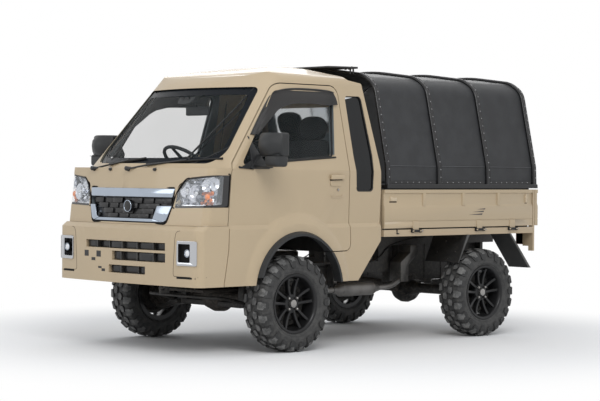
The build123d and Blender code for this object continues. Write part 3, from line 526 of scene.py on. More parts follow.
# Lighter grey than the cloth: a painted highlight along the canopy's crease.
CANVAS_CREASE_HIGHLIGHT = Finish("crease_painted_highlight", "canopy_fabric", (0.075, 0.076, 0.080), 0.5, 0.0, 0.0, 0.2, 600.0, 0.1)
SEAT_CLOTH = Cloth("seat_weave", "grey_cloth", (0.028, 0.029, 0.031), 0.004, 0.9, 0.3, 0.2)
TREAD = Rubber("tread_rubber", "tyre_rubber", (0.018, 0.018, 0.018), (0.050, 0.050, 0.050), 0.7)
LUG_TOP = Rubber("lug_top_rubber", "tyre_rubber", (0.050, 0.050, 0.050), (0.190, 0.188, 0.182), 0.85)
SIDEWALL = Rubber("sidewall_rubber", "tyre_rubber", (0.030, 0.030, 0.030), (0.078, 0.076, 0.073), 0.7)

AnyFinish = Union[Finish, Paint, Glass, Cloth, Rubber]


class Palette:
    """Materials made once for each finish."""

    made: dict[str, bpy.types.Material] = {}

    @classmethod
    def material(cls, finish: AnyFinish) -> bpy.types.Material:
        """The material of a finish, built the first time it is asked for."""
        if finish.name not in cls.made:
            cls.made[finish.name] = finish.material()
        return cls.made[finish.name]


# ------------------------------------------------------------------ mesh tools


class Mould:
    """A mesh in the making, shaped with bmesh operators."""

    def __init__(self) -> None:
        """Start with an empty mesh."""
        self.bm = bmesh.new()

    def box(self, corner: Point, opposite: Point) -> "Mould":
        """Add a box between two opposite corners."""
        low, high = (Vector(tuple(map(pick, corner, opposite))) for pick in (min, max))
        matrix = Matrix.Translation((low + high) / 2) @ Matrix.Diagonal((*(high - low), 1.0))
        bmesh.ops.create_cube(self.bm, size=1.0, matrix=matrix)
        return self

    def rod(
        self, start: Point, end: Point, radius: float, end_radius: Optional[float] = None, sides: int = 20
    ) -> "Mould":
        """Add a round rod or cone between two points.

        Args:
            start: centre of the first end.
            end: centre of the second end.
            radius: radius at the start.
            end_radius: radius at the end, the same when left out.
            sides: how many facets.

        Returns:
            The mould.
        """
        first, last = Vector(start), Vector(end)
        turn = (last - first).to_track_quat("Z", "Y").to_matrix().to_4x4()
        matrix = Matrix.Translation((first + last) / 2) @ turn
        bmesh.ops.create_cone(
            self.bm,
            cap_ends=True,
            segments=sides,
            radius1=radius,
            radius2=radius if end_radius is None else end_radius,
            depth=(last - first).length,
            matrix=matrix,
        )
        return self

    def across(
        self, y: float, z: float, start: float, end: float, *radii: float, sides: int = 20
    ) -> "Mould":
        """Add a rod along X in row y, from the front axle, with one radius or two."""
        return self.rod((start, at(y), z), (end, at(y), z), *radii, sides=sides)

    def ball(self, centre: Point, radius: float, scale: Point = (1, 1, 1)) -> "Mould":
        """Add a round or stretched ball."""
        matrix = Matrix.Translation(centre) @ Matrix.Diagonal((*scale, 1.0))
        bmesh.ops.create_uvsphere(self.bm, u_segments=20, v_segments=12, radius=radius, matrix=matrix)
        return self

    def plate(
        self, corners: Sequence[Point], thick: Point, rounding: float = 0.0, segments: int = 5
    ) -> "Mould":
        """Add a flat plate from its corners.

        Args:
            corners: the outline, in order.
            thick: the vector from one face to the other.
            rounding: radius at every corner.
            segments: facets in each round corner.

        Returns:
            The mould.
        """
        outline = [self.bm.verts.new(corner) for corner in corners]
        face = self.bm.faces.new(outline)
        if rounding:
            made = bmesh.ops.bevel(
                self.bm,
                geom=outline,
                offset=rounding,
                segments=segments,
                profile=0.5,
                affect="VERTICES",
                material=-1,
            )
            faces = {f for v in made["verts"] for f in v.link_faces}
            face = max(faces, key=lambda f: f.calc_area())
        before = list(face.verts)
        out = bmesh.ops.extrude_face_region(self.bm, geom=[face])
        moved = [v for v in out["geom"] if isinstance(v, bmesh.types.BMVert)]
        bmesh.ops.translate(self.bm, verts=moved, vec=thick)
        faces = {f for v in before + moved for f in v.link_faces}
        bmesh.ops.recalc_face_normals(self.bm, faces=list(faces))
        return self

    def lathe(
        self, profile: Sequence[tuple[float, float]], centre: Point, steps: int, closed: bool = False
    ) -> "Mould":
        """Spin a profile about a line along X.

        Args:
            profile: rows of (x from the centre, radius).
            centre: a point on the axis.
            steps: facets in the full turn.
            closed: whether the profile closes on itself.

        Returns:
            The mould.
        """
        line = [self.bm.verts.new((centre[0] + x, centre[1], centre[2] + r)) for x, r in profile]
        pairs = list(zip(line, line[1:])) + ([(line[-1], line[0])] if closed else [])
        edges = [self.bm.edges.new(pair) for pair in pairs]
        known = set(self.bm.verts) - set(line)
        turn = {"cent": centre, "axis": (1, 0, 0), "angle": math.tau, "steps": steps}
        bmesh.ops.spin(self.bm, geom=line + edges, use_merge=True, **turn)
        verts = [v for v in self.bm.verts if v not in known]
        bmesh.ops.remove_doubles(self.bm, verts=verts, dist=1e-6)
        verts = [v for v in self.bm.verts if v not in known]
        bmesh.ops.recalc_face_normals(self.bm, faces=list({f for v in verts for f in v.link_faces}))
        return self

    def pipe(self, points: Sequence[Point], radius: float, smooth: bool = True, sides: int = 3) -> "Mould":
        """Add a round pipe along a line of points.

        Args:
            points: the line.
            radius: the pipe's radius.
            smooth: whether the line is a smooth curve pulled by its points.
            sides: bevel resolution.

        Returns:
            The mould.
        """
        curve = bpy.data.curves.new("pipe", "CURVE")
        curve.dimensions = "3D"
        curve.bevel_depth = radius
        curve.bevel_resolution = sides
        curve.use_fill_caps = True
        spline = curve.splines.new("NURBS" if smooth else "POLY")
        spline.points.add(len(points) - 1)
        for knot, place in zip(spline.points, points):
            knot.co = (*place, 1.0)
        if smooth:
            spline.order_u = 3
            spline.use_endpoint_u = True
            spline.resolution_u = 6
        carrier = bpy.data.objects.new("pipe", curve)
        mesh = bpy.data.meshes.new_from_object(carrier)
        self.bm.from_mesh(mesh)
        bpy.data.objects.remove(carrier)
        bpy.data.curves.remove(curve)
        bpy.data.meshes.remove(mesh)
        return self

    def sweep(self, line: Sequence[Point], step: Point, count: int) -> "Mould":
        """Extrude an open line of points in equal steps.

        Args:
            line: the line's points.
            step: the vector of one step.
            count: how many steps.

        Returns:
            The mould.
        """
        verts = [self.bm.verts.new(p) for p in line]
        edges = [self.bm.edges.new(pair) for pair in zip(verts, verts[1:])]
        for _ in range(count):
            made = bmesh.ops.extrude_edge_only(self.bm, edges=edges)["geom"]
            edges = [
                e for e in made if isinstance(e, bmesh.types.BMEdge) and all(v in made for v in e.verts)
            ]
            moved = [v for v in made if isinstance(v, bmesh.types.BMVert)]
            edges = [e for e in edges if not e.is_manifold and all(v in moved for v in e.verts)]
            bmesh.ops.translate(self.bm, verts=moved, vec=step)
        return self

    def loft(self, rows: Sequence[Sequence[Point]], closed: bool = True, capped: bool = False) -> "Mould":
        """Join rows of points, each to the next, with four-sided faces.

        Args:
            rows: the rows, all with the same count of points.
            closed: whether each row closes on itself.
            capped: whether the last row gets a face too.

        Returns:
            The mould.
        """
        grid = [[self.bm.verts.new(p) for p in row] for row in rows]
        for row, following in zip(grid, grid[1:]):
            for i in range(len(row) if closed else len(row) - 1):
                j = (i + 1) % len(row)
                self.bm.faces.new((row[i], row[j], following[j], following[i]))
        if capped:
            self.bm.faces.new(grid[-1])
        return self

    def faced(self) -> "Mould":
        """Turn every face outwards."""
        bmesh.ops.recalc_face_normals(self.bm, faces=self.bm.faces[:])
        return self

    def outwards(self, rank: Callable[[bmesh.types.BMFace], float]) -> "Mould":
        """Turn an open sheet so that the face that ranks highest looks up."""
        self.faced()
        if max(self.bm.faces, key=rank).normal.z < 0:
            bmesh.ops.reverse_faces(self.bm, faces=self.bm.faces[:])
        return self

    def warp(self, move: Callable[[Vector], Vector], verts: Optional[Sequence] = None) -> "Mould":
        """Move each vertex by a rule."""
        for vert in self.bm.verts if verts is None else verts:
            vert.co = move(vert.co)
        return self

    def cut_along(self, axis: int, pitch: float, low: float, high: float) -> "Mould":
        """Slice the mesh square to one axis at an even pitch, so that it can bend."""
        count = max(1, round((high - low) / pitch))
        normal = Vector([1.0 if i == axis else 0.0 for i in range(3)])
        for step in range(1, count):
            place = normal * (low + (high - low) * step / count)
            geom = list(self.bm.verts) + list(self.bm.edges) + list(self.bm.faces)
            bmesh.ops.bisect_plane(self.bm, geom=geom, plane_co=place, plane_no=normal)
        return self

    def bevel(self, width: float, segments: int = 2, angle: float = 30.0) -> "Mould":
        """Round every edge sharper than an angle in degrees."""
        limit = math.radians(angle)
        edges = [e for e in self.bm.edges if e.is_manifold and e.calc_face_angle(0.0) > limit]
        bmesh.ops.bevel(
            self.bm,
            geom=edges,
            offset=width,
            segments=segments,
            profile=0.5,
            affect="EDGES",
            material=-1,
            clamp_overlap=True,
        )
        return self

    def on_side(self, side: int) -> "Mould":
        """Turn the mesh into its mirror image when it belongs on the right."""
        if side < 0:
            bmesh.ops.scale(self.bm, vec=(-1, 1, 1), verts=self.bm.verts[:])
            bmesh.ops.reverse_faces(self.bm, faces=self.bm.faces[:])
        return self

    def moved(self, step: Point) -> "Mould":
        """Shift the whole mesh."""
        bmesh.ops.translate(self.bm, verts=self.bm.verts[:], vec=step)
        return self

    def spun(self, count: int) -> "Mould":
        """Repeat the mesh evenly round the X axis."""
        verts = self.bm.verts[:]
        geom = verts + self.bm.edges[:] + self.bm.faces[:]
        turn = {"cent": (0, 0, 0), "axis": (1, 0, 0), "angle": math.tau, "steps": count}
        bmesh.ops.spin(self.bm, geom=geom, use_duplicate=True, **turn)
        bmesh.ops.delete(self.bm, geom=verts, context="VERTS")
        return self

    def add(self, other: "Mould") -> "Mould":
        """Take over the mesh of another mould."""
        mesh = bpy.data.meshes.new("added")
        other.bm.to_mesh(mesh)
        other.bm.free()
        self.bm.from_mesh(mesh)
        bpy.data.meshes.remove(mesh)
        return self

    def tile(
        self,
        outline: Sequence[tuple[float, float]],
        bow: "Bow",
        outer: float,
        inner: float,
        edge: float = 0.0015,
        flat: bool = True,
        pitch: float = 0.035,
    ) -> "Mould":
        """Add one block that follows the bowed front.

        Args:
            outline: its outline, (x or s, z).
            bow: the surface.
            outer: depth of its face.
            inner: depth of its back.
            edge: rounding of its edges.
            flat: whether the outline's first value is x, not a distance along.
            pitch: how finely it is sliced to bend.

        Returns:
            The mould.
        """
        points = [(bow.along(a) if flat else a, b) for a, b in outline]
        block = Mould().plate([(a, inner, b) for a, b in points], (0, outer - inner, 0))
        if edge:
            block.bevel(edge, 2, 40.0)
        reach = [a for a, _ in points]
        return self.add(block.cut_along(0, pitch, min(reach), max(reach)).warp(bow.place))

    def welded(self, node: bpy.types.Object, flatness: float) -> "Mould":
        """Take a node's mesh with its corners merged and flat faces joined, below an angle in degrees."""
        self.bm.from_mesh(node.data)
        bmesh.ops.remove_doubles(self.bm, verts=self.bm.verts[:], dist=2e-6)
        return self.dissolved(flatness)

    def dissolved(self, flatness: float) -> "Mould":
        """Join faces that meet at less than an angle in degrees."""
        verts, edges = self.bm.verts[:], self.bm.edges[:]
        bmesh.ops.dissolve_limit(
            self.bm, angle_limit=math.radians(flatness), verts=verts, edges=edges, delimit=set()
        )
        return self

    def paint(self, index: int, test: Callable[[bmesh.types.BMFace], bool]) -> "Mould":
        """Give a material index to the faces that pass a test."""
        for face in self.bm.faces:
            if test(face):
                face.material_index = index
        return self

    def piece(
        self, name: str, body: str, *finishes: AnyFinish, angle: float = 35.0, stands_for: Sequence[str] = ()
    ) -> bpy.types.Object:
        """Turn the mesh into a finished piece that rides on a body.

        Args:
            name: the piece's name.
            body: the body it moves with.
            finishes: its finishes, by material index.
            angle: edges sharper than this stay sharp.
            stands_for: nodes that it replaces.

        Returns:
            The new object.
        """
        mesh = bpy.data.meshes.new(name)
        self.bm.to_mesh(mesh)
        self.bm.free()
        for finish in finishes:
            mesh.materials.append(Palette.material(finish))
        mesh.shade_smooth()
        mesh.set_sharp_from_angle(angle=math.radians(angle))
        piece = bpy.data.objects.new(name, mesh)
        bpy.context.scene.collection.objects.link(piece)
        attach(piece, body)
        if stands_for:
            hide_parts(*stands_for)
        return piece


class Skin:
    """The outer surface of some nodes, met by looking along a direction."""

    def __init__(self, nodes: Sequence[bpy.types.Object], look: Point) -> None:
        """Gather the nodes' triangles.

        Args:
            nodes: the nodes' objects.
            look: the direction in which the surface is looked at.
        """
        mesh = bmesh.new()
        for node in nodes:
            mesh.from_mesh(node.data)
        self.tree = BVHTree.FromBMesh(mesh)
        self.look = Vector(look).normalized()
        mesh.free()

    def under(self, place: Vector, lift: float = 0.0) -> Vector:
        """The surface point in line with a place, raised by a lift."""
        start = place - self.look * 4.0
        hit = self.tree.ray_cast(start, self.look)
        if hit[0] is None:
            hit = self.tree.find_nearest(place)
        return hit[0] - self.look * lift

    def beside(self, side: int, y: float, z: float, lift: float) -> Vector:
        """A place on either side of the cab, met from the left and raised by a lift."""
        spot = self.under(Vector((2.0, at(y), z)), lift)
        return Vector((side * spot.x, spot.y, spot.z))


@dataclass(frozen=True)
class Bow:
    """The bowed and round-cornered front of the cab as a sheet that wraps.

    A place on it is (s, depth, z): s runs along the outline from the middle,
    depth goes inwards.
    """

    front: float
    radius: float
    corner: float
    lean: float = 0.0
    base_z: float = 0.0
    half: float = BODY_HALF + 0.001

    def _turn(self) -> tuple[float, float, float]:
        """Angle where the corner starts, and the corner's centre."""
        x = self.half - self.corner
        reach = self.radius - self.corner
        y = self.front + self.radius - math.sqrt(reach * reach - x * x)
        return math.asin(x / reach), x, y

    def along(self, x: float) -> float:
        """Distance along the outline to a given x."""
        angle, centre_x, _ = self._turn()
        flat = self.radius * math.sin(angle)
        if abs(x) <= flat:
            return math.copysign(self.radius * math.asin(abs(x) / self.radius), x)
        bend = math.asin(min(1.0, (abs(x) - centre_x) / self.corner)) - angle
        return math.copysign(self.radius * angle + self.corner * bend, x)

    def side(self, y: float) -> float:
        """Distance along the outline to a place on the flat side."""
        angle, _, centre_y = self._turn()
        return self.radius * angle + self.corner * (math.pi / 2 - angle) + (y - centre_y)

    def place(self, local: Vector) -> Vector:
        """Turn (s, depth, z) into a place in the frame.

        Args:
            local: distance along the outline, depth inwards and height.

        Returns:
            The place in the frame.
        """
        s, depth, z = local
        angle, centre_x, centre_y = self._turn()
        sign = 1.0 if s >= 0 else -1.0
        s = abs(s)
        bend_s = self.radius * angle
        side_s = bend_s + self.corner * (math.pi / 2 - angle)
        if s <= bend_s:
            phi = s / self.radius
            x = (self.radius - depth) * math.sin(phi)
            y = self.front + self.radius - (self.radius - depth) * math.cos(phi)
        elif s <= side_s:
            phi = angle + (s - bend_s) / self.corner
            x = centre_x + (self.corner - depth) * math.sin(phi)
            y = centre_y - (self.corner - depth) * math.cos(phi)
        else:
            x = self.half - depth
            y = centre_y + s - side_s
        return Vector((sign * x, at(y + self.lean * (z - self.base_z)), z))

    def snap(self, p: Vector, reach: float = 0.0018) -> Vector:
        """A place moved onto the bowed surface when it is nearly there."""
        _, centre_x, centre_y = self._turn()
        shift = self.lean * (p.z - self.base_z)
        y = p.y - AXLE_Y - shift
        if abs(p.x) <= centre_x and y < centre_y + self.corner:
            middle, radius = Vector((0.0, self.front + self.radius)), self.radius
        elif abs(p.x) > centre_x and y < centre_y:
            middle, radius = Vector((math.copysign(centre_x, p.x), centre_y)), self.corner
        else:
            return p
        arm = Vector((p.x, y)) - middle
        if abs(arm.length - radius) > reach:
            return p
        spot = middle + arm.normalized() * radius
        return Vector((spot.x, AXLE_Y + spot.y + shift, p.z))


NOSE = Bow(front=-0.796, radius=4.5, corner=0.062, lean=0.128, base_z=0.834)
BUMPER = Bow(front=-0.835, radius=7.0, corner=0.066)


def dress(node: bpy.types.Object, finish: AnyFinish) -> None:
    """Give a CAD node its finish."""
    node.data.materials.clear()
    node.data.materials.append(Palette.material(finish))


def edged(piece: bpy.types.Object, width: float, angle: float, smooth: bool) -> None:
    """Round a panel's edges with a modifier.

    Args:
        piece: the panel.
        width: the rounding's width.
        angle: edges sharper than this, in degrees, are rounded.
        smooth: whether the flat faces keep their own shading.
    """
    edge = piece.modifiers.new("edge", "BEVEL")
    edge.width = width
    edge.segments = 2
    edge.limit_method = "ANGLE"
    edge.angle_limit = math.radians(angle)
    edge.use_clamp_overlap = True
    edge.harden_normals = smooth


# ------------------------------------------------------------------ shared shapes


def rounded(corners: Sequence[tuple[float, float, float]], steps: int = 6) -> list[tuple[float, float]]:
    """Closed outline with round corners.

    Args:
        corners: rows of two coordinates and a corner radius.
        steps: facets in each round corner.

    Returns:
        The outline's points.
    """
    line: list[tuple[float, float]] = []
    count = len(corners)
    for index, (a, b, radius) in enumerate(corners):
        here = Vector((a, b))
        back = Vector(corners[index - 1][:2]) - here
        ahead = Vector(corners[(index + 1) % count][:2]) - here
        turn = math.pi - back.angle(ahead)
        if radius <= 0 or turn < 1e-4:
            line.append((a, b))
            continue
        reach = min(radius * math.tan(turn / 2), back.length * 0.49, ahead.length * 0.49)
        first, last = here + back.normalized() * reach, here + ahead.normalized() * reach
        for step in range(steps + 1):
            t = step / steps
            spot = first * (1 - t) ** 2 + here * (2 * t * (1 - t)) + last * t**2
            line.append((spot.x, spot.y))
    return line


def circle(centre: Vector, radius: float, steps: int) -> list[Vector]:
    """Points once round a circle that faces along Y, the first one again at the end."""
    turns = (math.tau * step / steps for step in range(steps + 1))
    return [centre + Vector((radius * math.cos(a), 0, radius * math.sin(a))) for a in turns]


def distances(places: Sequence[Vector]) -> list[float]:
    """How far along a line each of its points lies."""
    lengths = [0.0]
    for first, last in zip(places, places[1:]):
        lengths.append(lengths[-1] + (last - first).length)
    return lengths


def four(left: float, right: float, low: float, high: float) -> list[tuple[float, float]]:
    """Corners of an upright rectangle, from its low left one."""
    return [(left, low), (right, low), (right, high), (left, high)]


def closed_line(points: Sequence[Point]) -> list[Point]:
    """The points with the first one again at the end."""
    return list(points) + [points[0]]


# ------------------------------------------------------------------ studio


class Ray(Enum):
    """Rays that meet the plain white surroundings."""

    CAMERA = "Is Camera Ray"
    GLOSSY = "Is Glossy Ray"
    TRANSMISSION = "Is Transmission Ray"


@dataclass
class Studio:
    """Pale floor, soft lights and the camera."""

    azimuth: float = 46.26
    pitch: float = 0.89
    roll: float = 0.47
    focal_px: float = 1805.0
    frame_px: float = 600.0
    camera: Point = (9.34, -9.02, 1.18)
    fade: tuple[float, float] = (1.9, 3.6)

    def floor(self) -> None:
        """Pale ground that fades to plain white away from the truck."""
        sheet = Sheet("studio_floor")
        path = sheet.tree.nodes.new("ShaderNodeLightPath")
        rays = [Value(sheet, path.outputs[ray.value]) for ray in Ray]
        seen = rays[0]
        for ray in rays[1:]:
            seen = sheet.node("ShaderNodeMath", {"operation": "MAXIMUM"}, {0: seen, 1: ray})
        reach = sheet.node("ShaderNodeVectorMath", {"operation": "LENGTH"}, {0: sheet.place()}, out=1)
        ground = sheet.node("ShaderNodeBsdfDiffuse", values={"Color": (0.86, 0.86, 0.86, 1.0)})
        white = sheet.node("ShaderNodeEmission", values={"Color": (1.0, 1.0, 1.0, 1.0), "Strength": 1.0})
        mask = seen * reach.fade(*self.fade)
        mixed = sheet.node("ShaderNodeMixShader", values={0: mask, 1: ground, 2: white})
        sheet.tree.links.new(mixed.socket, sheet.output.inputs["Surface"])
        mould = Mould()
        bmesh.ops.create_grid(mould.bm, x_segments=1, y_segments=1, size=60.0)
        mesh = bpy.data.meshes.new("floor")
        mould.bm.to_mesh(mesh)
        mould.bm.free()
        floor = bpy.data.objects.new("floor", mesh)
        bpy.context.scene.collection.objects.link(floor)
        mesh.materials.append(sheet.material)
        floor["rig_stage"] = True

    def world(self) -> None:
        """Even pale surroundings, white to the camera and in reflections."""
        world = bpy.data.worlds.new("studio_world")
        bpy.context.scene.world = world
        world.use_nodes = True
        tree = world.node_tree
        tree.nodes.clear()
        path = tree.nodes.new("ShaderNodeLightPath")
        back = tree.nodes.new("ShaderNodeBackground")
        light = tree.nodes.new("ShaderNodeBackground")
        mix = tree.nodes.new("ShaderNodeMixShader")
        out = tree.nodes.new("ShaderNodeOutputWorld")
        back.inputs["Color"].default_value = (1.0, 1.0, 1.0, 1.0)
        back.inputs["Strength"].default_value = 1.0
        light.inputs["Color"].default_value = (0.93, 0.96, 1.0, 1.0)
        light.inputs["Strength"].default_value = 0.62
        rays = [path.outputs[ray.value] for ray in Ray]
        for ray in rays[1:]:
            larger = tree.nodes.new("ShaderNodeMath")
            larger.operation = "MAXIMUM"
            tree.links.new(rays[0], larger.inputs[0])
            tree.links.new(ray, larger.inputs[1])
            rays[0] = larger.outputs[0]
        tree.links.new(rays[0], mix.inputs["Fac"])
        tree.links.new(light.outputs["Background"], mix.inputs[1])
        tree.links.new(back.outputs["Background"], mix.inputs[2])
        tree.links.new(mix.outputs["Shader"], out.inputs["Surface"])

    def lamp(self, name: str, place: Point, aim: Point, size: tuple[float, float], power: float) -> None:
        """One soft rectangular lamp.

        Args:
            name: the lamp's name.
            place: where it hangs.
            aim: what it points at.
            size: its width and height.
            power: its power in watts.
        """
        data = bpy.data.lights.new(name, "AREA")
        data.shape = "RECTANGLE"
        data.size, data.size_y = size
        data.energy = power
        lamp = bpy.data.objects.new(name, data)
        lamp.location = place
        lamp.rotation_euler = (Vector(aim) - Vector(place)).to_track_quat("-Z", "Y").to_euler()
        bpy.context.scene.collection.objects.link(lamp)

    def view(self) -> None:
        """The camera at its measured place, turned by azimuth, pitch and roll."""
        data = bpy.data.cameras.new("camera")
        data.sensor_width = 36.0
        data.lens = 36.0 * self.focal_px / self.frame_px
        data.clip_end = 200.0
        camera = bpy.data.objects.new("camera", data)
        turn = Matrix.Rotation(math.radians(self.azimuth), 4, "Z")
        tilt = Matrix.Rotation(math.radians(90.0 - self.pitch), 4, "X")
        lean = Matrix.Rotation(math.radians(self.roll), 4, "Z")
        camera.matrix_world = Matrix.Translation(self.camera) @ turn @ tilt @ lean
        bpy.context.scene.collection.objects.link(camera)
        bpy.context.scene.camera = camera

    def build(self) -> None:
        """Set up the whole studio."""
        scene = bpy.context.scene
        scene.view_settings.view_transform = "Standard"
        self.floor()
        self.world()
        self.lamp("key", (6.5, -5.0, 6.5), (0.2, 0.0, 1.0), (5.0, 4.0), 365.0)
        self.lamp("front", (-3.0, -8.0, 3.4), (0.0, -1.5, 0.9), (5.0, 3.0), 72.0)
        self.lamp("top", (0.0, 0.5, 7.0), (0.0, 0.0, 1.0), (7.0, 7.0), 90.0)
        self.lamp("back", (-6.0, 6.0, 5.0), (0.0, 0.5, 1.0), (5.0, 4.0), 120.0)
        self.view()


# ------------------------------------------------------------------ wheels


@dataclass
class Wheel:
    """One wheel: lugged tyre, ten-spoke rim, cap and nuts."""

    corner: str
    side: int
    axle_y: float
    lugs: int = 22
    nut_circle: float = 0.050

    @property
    def centre(self) -> Vector:
        """Middle of the wheel."""
        return Vector((self.side * HALF_TRACK, at(self.axle_y), TYRE_R))

    def carcass(self) -> list[tuple[float, float]]:
        """Half profile of the bare tyre, (x, radius), from its bead to its middle."""
        return [
            (0.076, 0.1955), (0.084, 0.2010), (0.0915, 0.2120), (0.0965, 0.2290), (0.0975, 0.2480),
            (0.0950, 0.2690), (0.0895, 0.2860), (0.0800, 0.2975), (0.0640, 0.3020), (0.0330, 0.3040),
            (0.0000, 0.3045),
        ]

    def _surface(self) -> tuple[list[float], list[Vector]]:
        """Path lengths and places down the half profile, from the middle."""
        places = [Vector((x, r)) for x, r in reversed(self.carcass())]
        return distances(places), places

    def wrap(self, local: Vector) -> Vector:
        """Turn (along the tread, across it from the middle, height) into the wheel's frame."""
        lengths, places = self._lengths, self._places
        across = abs(local.y)
        index = max(i for i, length in enumerate(lengths[:-1]) if length <= across or i == 0)
        span = lengths[index + 1] - lengths[index]
        share = (across - lengths[index]) / span
        point = places[index].lerp(places[index + 1], share)
        direction = places[index + 1] - places[index]
        if 0.0 <= share <= 1.0 and 0 < index < len(places) - 2:
            before = places[index] - places[index - 1]
            after = places[index + 2] - places[index + 1]
            near = before.normalized().lerp(direction.normalized(), 0.5)
            far = direction.normalized().lerp(after.normalized(), 0.5)
            direction = near.lerp(far, share)
        normal = Vector((-direction.y, direction.x)).normalized()
        point = point + normal * local.z
        angle = local.x / TYRE_R
        x = math.copysign(point.x, local.y)
        return Vector((x, point.y * math.sin(angle), point.y * math.cos(angle)))

    def pitch_block(
        self, mould: Mould, corners: Sequence[tuple[float, float]], height: float, top: bool
    ) -> None:
        """One rubber block of the tread, bent over the carcass.

        Args:
            mould: the mesh that takes it.
            corners: its outline, (along, across).
            height: how far it stands up.
            top: whether its face is worn pale.
        """
        block = Mould().plate([(u, v, -0.004) for u, v in corners], (0, 0, height + 0.004))
        across = [v for _, v in corners]
        block.cut_along(1, 0.011, min(across), max(across)).bevel(0.0018, 1, 40.0)
        crown = height - 0.0004
        if top:
            block.paint(1, lambda f: all(v.co.z > crown for v in f.verts))
        mould.add(block.warp(self.wrap))

    def tyre(self) -> None:
        """Tyre with stepped shoulder lugs and a zigzag of middle blocks."""
        self._lengths, self._places = self._surface()
        pitch = math.tau * TYRE_R / self.lugs
        tread = Mould()
        for sign in SIDES:
            slip = 0.0 if sign > 0 else pitch / 2
            for step, reach in ((0, 0.140), (1, 0.126)):
                u = slip + (step - 0.5) * pitch
                half = pitch * 0.33
                notch = pitch * 0.10
                shape = [
                    (u - half, 0.058), (u - half + notch, 0.046), (u + half, 0.052), (u + half, 0.084),
                    (u + half - 0.006, 0.092), (u + half - 0.004, reach - 0.008), (u + half - 0.014, reach),
                    (u - half + 0.012, reach), (u - half + 0.002, reach - 0.010), (u - half - 0.004, 0.090),
                ]
                self.pitch_block(tread, [(a, sign * b) for a, b in shape], 0.0095, False)
                crest = [
                    (u - half + 0.004, 0.062), (u - half + notch, 0.050), (u + half - 0.006, 0.056),
                    (u + half - 0.003, 0.080), (u + half - 0.012, 0.088), (u + half - 0.012, 0.102),
                    (u - half + 0.016, 0.102), (u - half + 0.014, 0.092), (u - half + 0.002, 0.086),
                ]
                self.pitch_block(tread, [(a, sign * b) for a, b in crest], 0.0128, True)
            for step in (0, 1):
                u = slip + (step - 0.22) * pitch
                inner = [
                    (u - 0.022, 0.006), (u + 0.010, 0.004), (u + 0.028, 0.014), (u + 0.022, 0.040),
                    (u - 0.004, 0.044), (u - 0.024, 0.034),
                ]
                self.pitch_block(tread, [(a, sign * b) for a, b in inner], 0.0128, True)
        tread.spun(self.lugs // 2)
        half = self.carcass()
        lugs = set(tread.bm.faces)
        tread.lathe(half + [(-x, r) for x, r in reversed(half[:-1])], (0, 0, 0), 132)
        for x, radius in ((0.0985, 0.2360), (0.0945, 0.2140)):
            for sign in SIDES:
                ring = [(x - 0.003, radius - 0.003), (x, radius), (x - 0.003, radius + 0.003)]
                tread.lathe([(sign * a, r) for a, r in ring], (0, 0, 0), 132)
        tread.paint(2, lambda f: f not in lugs).on_side(self.side).moved(self.centre)
        finishes, stands = (TREAD, LUG_TOP, SIDEWALL), [f"tyre_{self.corner}"]
        tread.piece(
            f"mud_tyre_{self.corner}", f"wheel_{self.corner}", *finishes, angle=28.0, stands_for=stands
        )

    def rim(self) -> None:
        """Dished rim with five pairs of thin spokes, a cap and four nuts."""
        barrel = [
            (-0.083, 0.166), (-0.084, 0.196), (-0.080, 0.197), (-0.078, 0.190), (-0.070, 0.176),
            (-0.040, 0.166), (0.030, 0.170), (0.068, 0.177), (0.078, 0.1885), (0.080, 0.197),
            (0.0845, 0.1965), (0.0855, 0.188), (0.083, 0.1815), (0.076, 0.176), (0.060, 0.1715),
            (0.030, 0.163), (-0.040, 0.160),
        ]
        mould = Mould().lathe(barrel, (0, 0, 0), 96, closed=True).add(self.spokes().spun(5))
        hub = [
            (-0.020, 0.0281), (-0.020, 0.060), (0.010, 0.068), (0.034, 0.066), (0.046, 0.060),
            (0.050, 0.052), (0.048, 0.034), (0.048, 0.0281),
        ]
        mould.lathe(hub, (0, 0, 0), 64, closed=True)
        nuts = Mould()
        for turn in range(4):
            angle = math.radians(45 + 90 * turn)
            y, z = self.nut_circle * math.cos(angle), self.nut_circle * math.sin(angle)
            mould.rod((0.036, y, z), (0.0505, y, z), 0.0125)
            nuts.rod((0.040, y, z), (0.062, y, z), 0.0098, sides=6).ball((0.062, y, z), 0.0085, (0.7, 1, 1))
        self.finish(mould, f"rim_dressed_{self.corner}", ALLOY, [f"rim_{self.corner}"])
        dome = [(0.046, 0.0285), (0.060, 0.0285), (0.066, 0.0255), (0.0685, 0.018), (0.069, 0.0)]
        self.finish(Mould().lathe(dome, (0, 0, 0), 48), f"wheel_cap_{self.corner}", SILVER)
        self.finish(nuts.bevel(0.0006, 1, 50.0), f"wheel_nuts_{self.corner}", SILVER)
        valve = Mould().rod((0.060, 0.0, 0.160), (0.082, 0.0, 0.155), 0.0035, 0.0028, 10)
        self.finish(valve, f"wheel_valve_{self.corner}", PLASTIC)

    def spokes(self) -> Mould:
        """One pair of bowed spokes that part towards the rim."""
        foot_r, tip_r = 0.040, 0.1735
        pair = Mould()
        for sign in SIDES:
            bar = Mould().box((-0.5, -0.5, 0.0), (0.5, 0.5, 1.0))
            for vert in bar.bm.verts:
                if vert.co.z > 0.5:
                    radius, middle, half, face, back = tip_r, 0.0440, 0.0098, 0.0640, 0.0380
                else:
                    radius, middle, half, face, back = foot_r, 0.0145, 0.0078, 0.0520, 0.0150
                across = sign * middle + math.copysign(half, vert.co.y)
                vert.co = Vector((face if vert.co.x > 0 else back, across, radius))
            pair.add(bar)

        def bowed(p: Vector) -> Vector:
            """Draw the middle of a spoke in."""
            return p - Vector((0.010 * math.sin(math.pi * ramp(p.z, foot_r, tip_r)), 0, 0))

        return pair.cut_along(2, 0.017, foot_r, tip_r).warp(bowed).bevel(0.0016, 2, 40.0)

